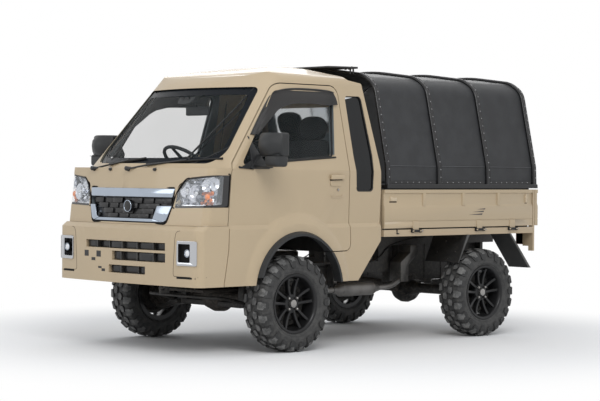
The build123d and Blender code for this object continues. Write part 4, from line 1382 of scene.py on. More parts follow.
    def finish(self, mould: Mould, name: str, finish: AnyFinish, stands_for: Sequence[str] = ()) -> None:
        """Put a wheel piece, made around the origin, in its place."""
        mould.on_side(self.side).moved(self.centre)
        mould.piece(name, f"wheel_{self.corner}", finish, stands_for=stands_for)

    def build(self) -> None:
        """Make the tyre and the rim."""
        self.tyre()
        self.rim()


# ------------------------------------------------------------------ front of the cab

HEADLAMP = [
    (0.430, 0.945, 0.010), (0.454, 1.045, 0.060), (0.526, 1.136, 0.060), (0.876, 1.1665, 0.014),
    (0.896, 0.9565, 0.014),
]


@dataclass
class Grille:
    """Black block grille between a chrome bar and a chrome jaw."""

    bow: Bow
    bar: Sequence[tuple[float, float]] = (
        (-0.440, 1.0700), (0.440, 1.0700), (0.424, 1.0120), (-0.424, 1.0120)
    )
    jaw: Sequence[tuple[float, float]] = (
        (-0.428, 0.958), (-0.372, 0.958), (-0.338, 0.884), (-0.310, 0.872), (0.262, 0.872),
        (0.292, 0.958), (0.428, 0.958), (0.388, 0.866), (0.366, 0.853), (-0.366, 0.853),
        (-0.392, 0.868),
    )
    mouth: Sequence[tuple[float, float, float]] = (
        (-0.430, 1.074, 0.010), (0.430, 1.074, 0.010), (0.436, 0.985, 0.060), (0.386, 0.842, 0.040),
        (-0.386, 0.842, 0.040), (-0.436, 0.985, 0.060),
    )
    rows: Sequence[tuple[float, float]] = ((0.972, 1.006), (0.938, 0.970), (0.904, 0.936), (0.876, 0.902))
    width: float = 0.106
    depths: Sequence[float] = (0.012, 0.021, 0.015, 0.026, 0.010, 0.018, 0.024)

    def build(self) -> None:
        """Make the grille's pieces."""
        back = Mould()
        back.tile(rounded([(x * 0.985, z, r) for x, z, r in self.mouth]), self.bow, 0.030, 0.038, 0.0)
        for number, (low, high) in enumerate(self.rows):
            half = 0.405 - 0.42 * (1.006 - high) * 0.55
            x = -half - (number % 2) * self.width / 2
            step = number * 3
            while x < half:
                left, right = max(x, -half) + 0.0012, min(x + self.width, half) - 0.0012
                if right - left > 0.012:
                    depth = self.depths[step % len(self.depths)]
                    back.tile(four(left, right, low, high), self.bow, depth, 0.034)
                x += self.width
                step += 1
        back.piece("grille_blocks", CHASSIS, GLOSS_BLACK, angle=30.0, stands_for=["grille", "grille_trim"])
        bar = Mould().tile(self.bar, self.bow, -0.007, 0.022, 0.005)
        bar.piece("grille_bar", CHASSIS, CHROME, angle=50.0)
        jaw = Mould()
        for corners, outer, edge in (
            ((0, 1, 2, 3, 9, 10), -0.006, 0.003), ((3, 4, 8, 9), -0.004, 0.003),
            ((4, 5, 6, 7, 8), -0.008, 0.004),
        ):
            jaw.tile([self.jaw[i] for i in corners], self.bow, outer, 0.026, edge)
        jaw.piece("grille_jaw", CHASSIS, CHROME, angle=50.0)
        line = [self.bow.place(Vector((self.bow.along(x), 0.001, z))) for x, z in rounded(self.mouth)]
        rim = Mould().pipe(closed_line(line), 0.0065, False, 2)
        rim.piece("grille_outline", CHASSIS, DEEP_BLACK, angle=60.0)
        boss = Mould()
        centre = self.bow.place(Vector((0.0, 0.0, 0.951)))
        front = centre + Vector((0, -0.004, 0.0005))
        boss.rod(front, centre + Vector((0, 0.024, 0)), 0.041, 0.041, 40).ball(front, 0.036, (1, 0.12, 1))
        boss.bevel(0.0015, 2, 50.0).piece("grille_boss", CHASSIS, GLOSS_BLACK)
        ring = Mould().pipe(circle(front - Vector((0, 0.0008, 0)), 0.037, 36), 0.0028, False, 2)
        ring.piece("grille_boss_ring", CHASSIS, CHROME, angle=60.0)


@dataclass
class Headlamp:
    """One headlamp: black housing, faceted bowls, amber indicator and a clear cover."""

    bow: Bow
    side: int
    lens: Sequence[tuple[float, float, float]] = (
        (0.446, 0.958, 0.008), (0.470, 1.048, 0.050), (0.540, 1.126, 0.050), (0.822, 1.1545, 0.014),
        (0.838, 0.970, 0.014),
    )
    bowls: Sequence[tuple[float, float, float, float]] = (
        (0.530, 1.062, 0.050, 0.030), (0.610, 1.040, 0.056, 0.034), (0.700, 1.092, 0.040, 0.028),
        (0.762, 1.100, 0.040, 0.026),
    )

    def place(self, local: Vector) -> Vector:
        """Place on the bowed front, drawn in with the body side."""
        return relief(self.bow.place(local))

    def _at(self, s: float, depth: float, z: float) -> Vector:
        """Place on this lamp's side."""
        return self.place(Vector((self.side * s, depth, z)))

    def build(self) -> None:
        """Make the lamp's pieces."""
        tag = SIDE_NAME[self.side]
        outline = [(self.side * x, z) for x, z in rounded(HEADLAMP)]
        lens = [(self.side * x, z) for x, z in rounded(self.lens)]
        shell = Mould().tile(outline, self, 0.034, 0.037, 0.0, False, 0.02)
        shell.piece(f"lamp_back_{tag}", CHASSIS, REFLECTOR, angle=40.0)
        outer, inner = self._spread(outline, 72), self._spread(lens, 72)
        steps = ((outer, 0.0015), (inner, 0.0035), (inner, 0.032))
        rows = [[(a, depth, b) for a, b in points] for points, depth in steps]
        frame = Mould().loft(rows).faced().cut_along(0, 0.02, -0.9, 0.9).warp(self.place)
        frame.piece(f"lamp_frame_{tag}", CHASSIS, LAMP_BLACK, angle=40.0, stands_for=["headlamps"])
        line = closed_line([self.place(Vector((a, 0.0005, b))) for a, b in outline])
        edge = Mould().pipe(line, 0.0042, False, 2)
        edge.piece(f"lamp_edge_{tag}", CHASSIS, DEEP_BLACK, angle=60.0)
        inside = Mould()
        for x, z, radius, depth in self.bowls:
            self.bowl(inside, x, z, radius, depth)
        inside.piece(f"lamp_bowls_{tag}", CHASSIS, REFLECTOR, angle=12.0)
        facets = Mould()
        self.facets(facets)
        facets.piece(f"lamp_facets_{tag}", CHASSIS, REFLECTOR, DEEP_BLACK, AMBER, angle=10.0)
        bulbs = Mould()
        for x, z, radius in ((0.530, 1.062, 0.010), (0.612, 1.040, 0.012), (0.702, 1.092, 0.008)):
            bulbs.ball(self._at(x, 0.016, z), radius)
        bulbs.piece(f"lamp_bulbs_{tag}", CHASSIS, WHITE_LENS)
        amber = Mould().ball(self._at(0.712, 0.020, 1.020), 0.021, (1, 0.7, 1))
        for x, z, size in (
            (0.757, 1.048, 0.012), (0.690, 0.992, 0.010), (0.752, 0.998, 0.013), (0.675, 1.062, 0.008)
        ):
            amber.ball(self._at(x, 0.024, z), size, (1.3, 0.7, 1))
        amber.piece(f"lamp_amber_{tag}", CHASSIS, AMBER)
        cover = Mould().tile(lens, self, -0.0015, 0.0015, 0.0, False, 0.02)
        cover.piece(f"lamp_cover_{tag}", CHASSIS, LENS_GLASS, angle=40.0)

    def _spread(self, outline: Sequence[tuple[float, float]], count: int) -> list[tuple[float, float]]:
        """Points on an outline at even angles round the lens's middle."""
        centre = Vector((self.side * 0.655, 1.050))
        found = []
        for step in range(count):
            angle = math.tau * step / count
            ray = Vector((math.cos(angle), math.sin(angle)))
            best = 0.0
            for first, last in zip(outline, list(outline[1:]) + [outline[0]]):
                a, b = Vector(first) - centre, Vector(last) - centre
                span = b - a
                cross = ray.x * span.y - ray.y * span.x
                if abs(cross) < 1e-12:
                    continue
                reach = (a.x * span.y - a.y * span.x) / cross
                share = (a.x * ray.y - a.y * ray.x) / cross
                if reach > 0 and -1e-9 <= share <= 1 + 1e-9:
                    best = max(best, reach)
            found.append(tuple(centre + ray * best))
        return found

    def bowl(self, mould: Mould, x: float, z: float, radius: float, depth: float) -> None:
        """A round reflector bowl with flutes."""
        turns = [math.tau * step / 18 for step in range(18)]
        rows = []
        for share, inward in ((1.0, 0.006), (0.92, 0.009), (0.62, depth * 0.72), (0.22, depth)):
            ring = radius * share
            rows.append([self._at(x + ring * math.cos(a), inward, z + ring * math.sin(a)) for a in turns])
        mould.loft(rows, capped=True).faced()

    def facets(self, mould: Mould) -> None:
        """A field of tilted mirror tiles between the bowls; some tiles are black and some amber, painted
        reflections.
        """
        columns = 17
        tiers = 9
        for column in range(columns):
            for tier in range(tiers):
                s = 0.476 + 0.332 * (column + 0.5) / columns
                z = 0.968 + 0.184 * (tier + 0.5) / tiers
                top = 1.096 + (s - 0.47) * 0.42 if s < 0.56 else 1.134 + (s - 0.56) * 0.092
                if z > top - 0.012:
                    continue
                tilt = 0.006 * math.sin(column * 2.3 + tier * 1.7)
                lean = 0.006 * math.cos(column * 1.1 - tier * 2.9)
                half_s, half_z = 0.332 / columns * 0.49, 0.184 / tiers * 0.49
                corners = [(-1, -1), (1, -1), (1, 1), (-1, 1)]
                verts = [
                    mould.bm.verts.new(self._at(s + a * half_s, 0.028 + a * tilt + b * lean, z + b * half_z))
                    for a, b in corners
                ]
                face = mould.bm.faces.new(verts if self.side > 0 else verts[::-1])
                # Black tiles paint dark reflections and amber tiles near the indicator paint its reflection.
                dark = (column * 5 + tier * 3) % 11 == 0
                warm = 0.66 < s < 0.79 and z < 1.04 and (column * 3 + tier) % 3 == 0
                face.material_index = 1 if dark else (2 if warm else 0)
        bmesh.ops.solidify(mould.bm, geom=mould.bm.faces[:], thickness=0.002)


@dataclass
class Bumper:
    """Slots with fins, fog lamps, seams and slits of the front bumper."""

    bow: Bow
    rows: Sequence[tuple[float, float, float, float, tuple[float, ...]]] = (
        (0.672, 0.722, -0.394, 0.432, (-0.271, -0.136, 0.0, 0.154, 0.313)),
        (0.596, 0.656, -0.101, 0.434, (-0.011, 0.155, 0.314)),
        (0.512, 0.564, -0.136, 0.242, (-0.010, 0.168)),
    )
    dots: Sequence[tuple[float, float, float, float]] = (
        (-0.412, -0.364, 0.610, 0.650), (-0.273, -0.224, 0.610, 0.650), (-0.330, -0.286, 0.584, 0.604),
        (-0.252, -0.214, 0.534, 0.548), (-0.214, -0.176, 0.516, 0.534),
    )
    fog_low: float = 0.583
    fog_high: float = 0.741
    fog_in: float = 0.545
    fog_out: float = 0.711

    def slots(self) -> None:
        """Fins and stepped cells in the three rows, and the small openings."""
        cells = Mould()
        fins = Mould()
        step = 0
        for low, high, left, right, cuts in self.rows:
            ends = [left, *cuts, right]
            cells.tile(four(left, right, low, high), self.bow, 0.036, 0.040, 0.0)
            for first, last in zip(ends, ends[1:]):
                depth = (0.016, 0.030, 0.012, 0.024, 0.019, 0.028)[step % 6]
                step += 1
                corners = four(first + 0.010, last - 0.010, low + 0.004, high - 0.004)
                cells.tile(corners, self.bow, depth, 0.038, 0.003)
            for x in cuts:
                fins.tile(four(x - 0.003, x + 0.003, low, high), self.bow, 0.006, 0.036, 0.0)
        for dot in self.dots:
            cells.tile(four(*dot), self.bow, -0.0006, 0.004, 0.0)
        cells.piece("bumper_cells", CHASSIS, GLOSS_BLACK, angle=30.0)
        fins.piece("bumper_fins", CHASSIS, STEEL_DARK, angle=30.0)

    def frame(self, side: int) -> list[list[tuple[float, float]]]:
        """Outer and inner outlines of one fog lamp's bezel."""
        outer = four(self.fog_in, self.fog_out, self.fog_low, self.fog_high)
        inner = four(self.fog_in + 0.011, self.fog_out - 0.051, self.fog_low + 0.022, self.fog_high - 0.020)
        return [[(side * x, z) for x, z in points] for points in (outer, inner)]

    def fog(self, side: int) -> None:
        """One fog lamp in its square chrome bezel."""
        tag = SIDE_NAME[side]
        outer, inner = self.frame(side)
        rows = []
        for points, depth, round_r in (
            (outer, 0.012, 0.012), (outer, -0.009, 0.012), (inner, -0.006, 0.007), (inner, 0.030, 0.007),
        ):
            line = rounded([(x, z, round_r) for x, z in points], 5)
            rows.append([(self.bow.along(x), depth, z) for x, z in line])
        bezel = Mould().loft(rows).faced().bevel(0.0025, 2, 45.0).warp(self.bow.place)
        bezel.piece(f"fog_bezel_{tag}", CHASSIS, CHROME_SOFT, angle=40.0, stands_for=["fog_lamps"])
        well = Mould().tile(inner, self.bow, 0.026, 0.031, 0.0)
        x = side * (self.fog_out - 0.080)
        centre = self.bow.place(Vector((self.bow.along(x), 0.0, 0.663)))
        well.rod(centre + Vector((0, 0.002, 0)), centre + Vector((0, 0.030, 0)), 0.028, 0.030, 36)
        well.piece(f"fog_well_{tag}", CHASSIS, DEEP_BLACK)
        lens = Mould().ball(centre + Vector((0, 0.0035, 0)), 0.021, (1, 0.35, 1))
        lens.piece(f"fog_lens_{tag}", CHASSIS, WHITE_LENS)
        ring = Mould().pipe(circle(centre + Vector((0, 0.0005, 0)), 0.0235, 32), 0.0022, False, 2)
        ring.piece(f"fog_ring_{tag}", CHASSIS, CHROME, angle=60.0)

    def seams(self, side: int) -> None:
        """Pod seam, the slit under it and the crease line."""
        tag = SIDE_NAME[side]
        line = Mould()
        path = [
            (0.566, 0.8035), (0.545, 0.8000), (0.530, 0.786), (0.522, 0.750), (0.510, 0.590),
            (0.508, 0.528), (0.514, 0.516), (0.530, 0.513), (0.712, 0.513)
        ]
        spots = [self.bow.place(Vector((self.bow.along(side * x), 0.0004, z))) for x, z in path[:-1]]
        spots += [self.bow.place(Vector((side * s, 0.0004, 0.513))) for s in (0.60, 0.66, 0.72, 0.78)]
        line.pipe(spots, 0.0016, False, 1).piece(f"pod_seam_{tag}", CHASSIS, DEEP_BLACK, angle=60.0)
        slit = Mould().tile(four(side * 0.540, side * 0.702, 0.500, 0.5115), self.bow, -0.0008, 0.003, 0.0)
        slit.piece(f"pod_slit_{tag}", CHASSIS, DEEP_BLACK)

    def build(self) -> None:
        """Make all of the bumper's pieces."""
        self.slots()
        for side in SIDES:
            self.fog(side)
            self.seams(side)


@dataclass
class Wipers:
    """Two wipers, their pivots and two washer nozzles on the nose."""

    skin: Skin
    pivots: Sequence[float] = (-0.430, -0.034)
    nozzles: Sequence[float] = (-0.232, 0.234)
    height: float = 1.192

    def nose(self, x: float, lift: float) -> Vector:
        """A place on the nose's top edge."""
        return self.skin.under(Vector((x, -2.0, self.height)), lift)

    def build(self) -> None:
        """Make the wipers and nozzles."""
        caps = Mould()
        for x in self.pivots:
            low, high = self.nose(x, -0.012), self.nose(x, 0.022)
            caps.rod(low, high + Vector((0, 0, 0.006)), 0.017, 0.0145, 24)
            caps.ball(high + Vector((0, -0.002, 0.006)), 0.015, (1, 0.6, 1))
        for x in self.nozzles:
            low, high = self.nose(x, -0.010), self.nose(x, 0.012)
            caps.rod(low, high, 0.013, 0.010, 20).ball(high, 0.0105, (1, 0.7, 0.9))
        caps.bevel(0.001, 1, 50.0).piece("wiper_pivots", CHASSIS, SATIN_BLACK)
        arms = Mould()
        blades = Mould()
        for x, reach in zip(self.pivots, (0.30, 0.44)):
            start = self.nose(x, 0.026)
            points = [start]
            for share in (0.35, 0.75, 1.0):
                place = Vector((x + reach * share, -2.0, self.height + 0.012 + 0.050 * share))
                points.append(self.skin.under(place, 0.020))
            arms.pipe(points, 0.0062, False, 2)
            line = []
            for step in range(9):
                share = step / 8
                place = Vector(
                    (x + reach * (0.30 + share * 1.25), -2.0, self.height + 0.034 + 0.040 * share)
                )
                line.append(self.skin.under(place, 0.010))
            blades.pipe(line, 0.0078, False, 1)
        arms.piece("wiper_arms", CHASSIS, SATIN_BLACK, angle=50.0)
        blades.piece("wiper_blades", CHASSIS, SEAL, angle=50.0)


# ------------------------------------------------------------------ glass, doors and cabin


def zoned(
    name: str,
    node: bpy.types.Object,
    body: str,
    outline: Sequence[tuple[float, float]],
    axes: tuple[int, int],
    inside: AnyFinish,
    outside: AnyFinish,
) -> bpy.types.Object:
    """A copy of a node cut along a convex outline, with one finish on each side of the cut.

    Args:
        name: the new piece's name.
        node: the node that it stands for.
        body: the body it rides on.
        outline: a convex outline seen along the third axis.
        axes: the two axes of the outline.
        inside: the finish within it.
        outside: the finish around it.

    Returns:
        The new object.
    """
    mould = Mould()
    mould.bm.from_mesh(node.data)
    bmesh.ops.remove_doubles(mould.bm, verts=mould.bm.verts[:], dist=2e-6)
    a, b = axes
    points = [Vector(p) for p in outline]
    centre = sum(points, Vector((0.0, 0.0))) / len(points)
    planes = []
    for first, last in zip(points, points[1:] + points[:1]):
        span = last - first
        if span.length < 1e-5:
            continue
        out = Vector((span.y, -span.x)).normalized()
        if out.dot(centre - first) > 0:
            out = -out
        planes.append((first, out))
        place, normal = Vector((0.0, 0.0, 0.0)), Vector((0.0, 0.0, 0.0))
        place[a], place[b] = first.x, first.y
        normal[a], normal[b] = out.x, out.y
        geom = mould.bm.verts[:] + mould.bm.edges[:] + mould.bm.faces[:]
        bmesh.ops.bisect_plane(mould.bm, geom=geom, plane_co=place, plane_no=normal)
    for face in mould.bm.faces:
        middle = face.calc_center_median()
        spot = Vector((middle[a], middle[b]))
        if any((spot - first).dot(out) > 0 for first, out in planes):
            face.material_index = 1
    return mould.piece(name, body, inside, outside, angle=30.0, stands_for=[node.name])


@dataclass
class Glasshouse:
    """Windscreen with its black border, the side glass, seals and visors."""

    nodes: dict[str, bpy.types.Object]
    skin: Skin
    clear: Sequence[tuple[float, float, float]] = (
        (0.606, 1.268, 0.085), (0.514, 1.690, 0.040), (-0.514, 1.690, 0.040), (-0.606, 1.268, 0.085),
    )
    window: Sequence[tuple[float, float, float]] = (
        (-0.440, 1.222, 0.018), (-0.062, 1.722, 0.070), (0.482, 1.726, 0.032), (0.412, 1.288, 0.028),
        (-0.060, 1.256, 0.300),
    )
    screen: Sequence[tuple[float, float, float]] = (
        (0.6548, 1.232, 0.095), (0.5550, 1.742, 0.045), (-0.5550, 1.742, 0.045), (-0.6548, 1.232, 0.095)
    )
    quarter: Sequence[tuple[float, float, float]] = (
        (0.587, 1.704, 0.024), (0.746, 1.706, 0.032), (0.782, 1.300, 0.400), (0.772, 1.056, 0.034),
        (0.614, 1.056, 0.026), (0.594, 1.300, 0.400),
    )
    visor_top: Sequence[tuple[float, float]] = (
        (-0.322, 1.424), (-0.232, 1.535), (-0.130, 1.652), (-0.076, 1.700), (-0.008, 1.727),
        (0.124, 1.740), (0.288, 1.740), (0.452, 1.734), (0.480, 1.722),
    )
    visor_low: Sequence[tuple[float, float]] = (
        (-0.268, 1.424), (-0.221, 1.462), (-0.120, 1.542), (-0.068, 1.584), (-0.015, 1.612),
        (0.090, 1.636), (0.260, 1.640), (0.420, 1.634), (0.488, 1.640),
    )

    def screen_glass(self) -> None:
        """Windscreen, border and seal."""
        node = self.nodes["windscreen"]
        zoned("windscreen_glass", node, CHASSIS, rounded(self.clear), (0, 2), SCREEN_GLASS, FRIT)
        front = Skin([node], (0, 1, 0))
        line = [front.under(Vector((x, -2.0, z)), -0.006) for x, z in rounded(self.screen)]
        Mould().pipe(closed_line(line), 0.0072, False, 2).piece("windscreen_seal", CHASSIS, SEAL, angle=60.0)
        sensor = Mould()
        spot = front.under(Vector((0.0, -2.0, 1.668)), 0.0)
        low, high = spot + Vector((-0.085, 0.012, -0.030)), spot + Vector((0.085, 0.075, 0.040))
        sensor.box(low, high)
        sensor.warp(
            lambda p: Vector((p.x * (1 - 3.0 * (spot.z + 0.04 - p.z)), p.y + 0.8 * (p.z - spot.z), p.z))
        )
        sensor.bevel(0.008, 3, 30.0).piece("sensor_box", CHASSIS, PLASTIC)
        eyes = Mould()
        for x in (-0.028, 0.028):
            eyes.rod(spot + Vector((x, 0.004, 0.0)), spot + Vector((x, 0.022, 0.0)), 0.014, 0.014, 20)
        eyes.bevel(0.001, 1, 50.0).piece("sensor_eyes", CHASSIS, GLOSS_BLACK)
        mirror = Mould().box(spot + Vector((-0.115, 0.105, -0.108)), spot + Vector((0.115, 0.128, -0.044)))
        mirror.bevel(0.010, 3, 30.0)
        mirror.rod(spot + Vector((0, 0.06, 0.0)), spot + Vector((0, 0.115, -0.05)), 0.008, 0.008, 14)
        mirror.piece("inside_mirror", CHASSIS, DASH)
        glass = Mould().box(spot + Vector((-0.106, 0.1275, -0.101)), spot + Vector((0.106, 0.1290, -0.051)))
        glass.bevel(0.004, 2, 30.0).piece("inside_mirror_glass", CHASSIS, MIRROR)

    def seals(self, side: int) -> None:
        """Rubber round the side windows and behind the door gap."""
        tag = SIDE_NAME[side]
        seal = Mould()
        line = [self.skin.beside(side, y, z, -0.009) for y, z in self._grown(self.window, -0.001)]
        seal.pipe(closed_line(line), 0.0075, False, 2)
        seal.piece(f"window_seal_{tag}", f"door_{tag}", SEAL, angle=60.0)
        quarter = Mould()
        line = [self.skin.beside(side, y, z, -0.010) for y, z in rounded(self.quarter)]
        quarter.pipe(closed_line(line), 0.0060, False, 2)
        quarter.piece(f"quarter_seal_{tag}", CHASSIS, SEAL, angle=60.0)
        sill = Mould()
        spots = ((-0.30, 1.228), (-0.06, 1.252), (0.18, 1.268), (0.42, 1.284))
        line = [self.skin.beside(side, y, z, 0.002) for y, z in spots]
        sill.pipe(line, 0.0058, True, 2).piece(f"window_sill_{tag}", f"door_{tag}", SEAL, angle=60.0)

    def _grown(
        self, outline: Sequence[tuple[float, float, float]], amount: float
    ) -> list[tuple[float, float]]:
        """The rounded outline moved out from its middle by an amount."""
        line = rounded(outline)
        middle = sum((Vector(p) for p in line), Vector((0.0, 0.0))) / len(line)
        return [tuple(Vector(p) + (Vector(p) - middle).normalized() * amount) for p in line]

    def visor(self, side: int) -> None:
        """Smoked wind deflector over one side window."""
        tag = SIDE_NAME[side]
        rows = []
        steps = 5
        for upper, lower in zip(self.visor_top, self.visor_low):
            row = []
            for step in range(steps + 1):
                share = step / steps
                y, z = Vector(upper).lerp(Vector(lower), share)
                lift = 0.004 + 0.019 * math.sin(min(1.0, share * 1.3) * math.pi / 2)
                row.append(self.skin.beside(side, y, z, lift))
            rows.append(row)
        shell = Mould().loft(rows, closed=False)
        bmesh.ops.subdivide_edges(shell.bm, edges=shell.bm.edges[:], cuts=1, use_grid_fill=True, smooth=0.6)
        shell.faced()
        bmesh.ops.solidify(shell.bm, geom=shell.bm.faces[:], thickness=0.0025)
        shell.piece(f"visor_{tag}", f"door_{tag}", VISOR, angle=50.0)
        line = [self.skin.beside(side, y, z, 0.0055) for y, z in self.visor_top]
        lip = Mould().pipe(line, 0.0042, True, 2)
        lip.piece(f"visor_edge_{tag}", f"door_{tag}", SATIN_BLACK, angle=60.0)

    def build(self) -> None:
        """Make all glass fittings."""
        self.screen_glass()
        for side in SIDES:
            self.seals(side)
            self.visor(side)


@dataclass
class Door:
    """Handle, keyhole, lid line and mirror of one door; the handle has a painted shadow and the lid line is
    a painted highlight.
    """

    nodes: dict[str, bpy.types.Object]
    skin: Skin
    side: int

    @property
    def tag(self) -> str:
        """The door's side in words."""
        return SIDE_NAME[self.side]

    def on(self, y: float, z: float, lift: float) -> Vector:
        """A place on the door, raised by a lift."""
        return self.skin.beside(self.side, y, z, lift)

    def pad(self, mould: Mould, outline: Sequence[tuple[float, float]], low: float, high: float) -> None:
        """A plate that stands on the door's side, from one lift to another."""
        corners = [self.on(y, z, low) for y, z in outline]
        mould.plate(corners, (self.side * (high - low), 0, 0))

    def handle(self) -> None:
        """Pull handle over its finger recess, a black strip of painted shadow under the grip, keyhole and
        lid line; the lid line is lighter khaki, a painted highlight.
        """
        body = f"door_{self.tag}"
        recess = Mould()
        shape = [(0.356, 1.140, 0.008), (0.356, 1.090, 0.020), (0.470, 1.090, 0.020), (0.470, 1.140, 0.008)]
        self.pad(recess, rounded(shape), -0.001, 0.0012)
        recess.piece(f"handle_recess_{self.tag}", body, KHAKI, angle=30.0)
        # Thin black strip just under the grip, a painted shadow.
        shade = Mould()
        shape = [(0.352, 1.136, 0.004), (0.352, 1.126, 0.004), (0.468, 1.130, 0.004), (0.468, 1.136, 0.004)]
        self.pad(shade, rounded(shape), 0.0005, 0.0022)
        shade.piece(f"handle_painted_shadow_{self.tag}", body, DEEP_BLACK, angle=30.0)
        grip = Mould()
        shape = [(0.350, 1.134, 0.007), (0.474, 1.136, 0.007), (0.474, 1.166, 0.010), (0.350, 1.166, 0.010)]
        self.pad(grip, rounded(shape), 0.002, 0.021)
        grip.bevel(0.006, 3, 40.0).piece(f"handle_grip_{self.tag}", body, KHAKI, angle=40.0)
        key = Mould()
        place = self.on(0.431, 1.066, 0.0)
        key.rod(place, place + Vector((self.side * 0.0022, 0, 0)), 0.009, 0.008, 24)
        key.piece(f"keyhole_{self.tag}", body, SILVER)
        if self.side > 0:
            # Thin line of lighter khaki round the lid, a painted highlight.
            line = Mould()
            spots = [
                (0.370, 1.030), (0.370, 1.018), (0.376, 1.014), (0.466, 1.018), (0.473, 1.022),
                (0.474, 1.034)
            ]
            line.pipe([self.on(y, z, 0.0004) for y, z in spots], 0.0018, False, 1)
            line.piece("lid_line_painted_highlight_left", body, KHAKI_PAINTED_HIGHLIGHT, angle=60.0)

    def mirror(self) -> None:
        """Two-part mirror head on its arm and triangular foot."""
        body = f"door_{self.tag}"
        near, far = (BODY_HALF + 0.030, BODY_HALF + 0.2455)
        head = Mould()
        y0, y1 = at(-0.392), at(-0.252)
        head.box((near, y0, 1.280), (far, y1, 1.432))
        bmesh.ops.subdivide_edges(head.bm, edges=head.bm.edges[:], cuts=3, use_grid_fill=True)
        middle = Vector(((near + far) / 2, y1, 1.356))

        def swell(p: Vector) -> Vector:
            """Round the front of the head."""
            across, up = (p.x - middle.x) / 0.1077, (p.z - middle.z) / 0.082
            return Vector((p.x, p.y + (0.055 * across**2 + 0.030 * up**2) * ramp(y1 - p.y, 0.0, 0.14), p.z))

        head.warp(swell).bevel(0.030, 5, 50.0)
        chin = Mould().box((near + 0.085, y0 + 0.036, 1.214), (far - 0.006, y1 - 0.004, 1.296))
        chin.bevel(0.020, 4, 50.0)
        head.add(chin)
        arm = Mould().box((BODY_HALF - 0.020, y0 + 0.052, 1.206), (near + 0.100, y1 - 0.030, 1.232))
        arm.bevel(0.009, 3, 50.0)
        head.add(arm)
        foot = Mould()
        tri = [
            (-0.372, 1.200, 0.010), (-0.196, 1.200, 0.014), (-0.196, 1.232, 0.012),
            (-0.262, 1.262, 0.030), (-0.283, 1.302, 0.010)
        ]
        foot.plate([(BODY_HALF - 0.028, at(y), z) for y, z in rounded(tri)], (0.034, 0, 0))
        foot.bevel(0.004, 2, 50.0)
        head.add(foot)
        sail = Mould()
        cover = [
            (-0.474, 1.203, 0.010), (-0.262, 1.204, 0.010), (-0.262, 1.300, 0.020), (-0.350, 1.422, 0.008)
        ]
        sail.plate(
            [self.skin.under(Vector((2.0, at(y), z)), -0.006) for y, z in rounded(cover)], (0.013, 0, 0)
        )
        sail.bevel(0.003, 2, 50.0)
        head.add(sail).on_side(self.side)
        head.piece(f"mirror_head_{self.tag}", body, PLASTIC, angle=40.0, stands_for=[f"mirror_{self.tag}"])
        glass = Mould().box((near + 0.026, y1 - 0.0005, 1.300), (far - 0.026, y1 + 0.0012, 1.418))
        glass.bevel(0.010, 4, 60.0).on_side(self.side).piece(f"mirror_glass_{self.tag}", body, MIRROR)
        split = Mould().box((near + 0.090, y0 + 0.034, 1.2835), (far - 0.0045, y1 - 0.002, 1.2865))
        split.bevel(0.001, 1, 60.0).on_side(self.side).piece(f"mirror_split_{self.tag}", body, DEEP_BLACK)

    def build(self) -> None:
        """Make the door's fittings."""
        self.handle()
        self.mirror()


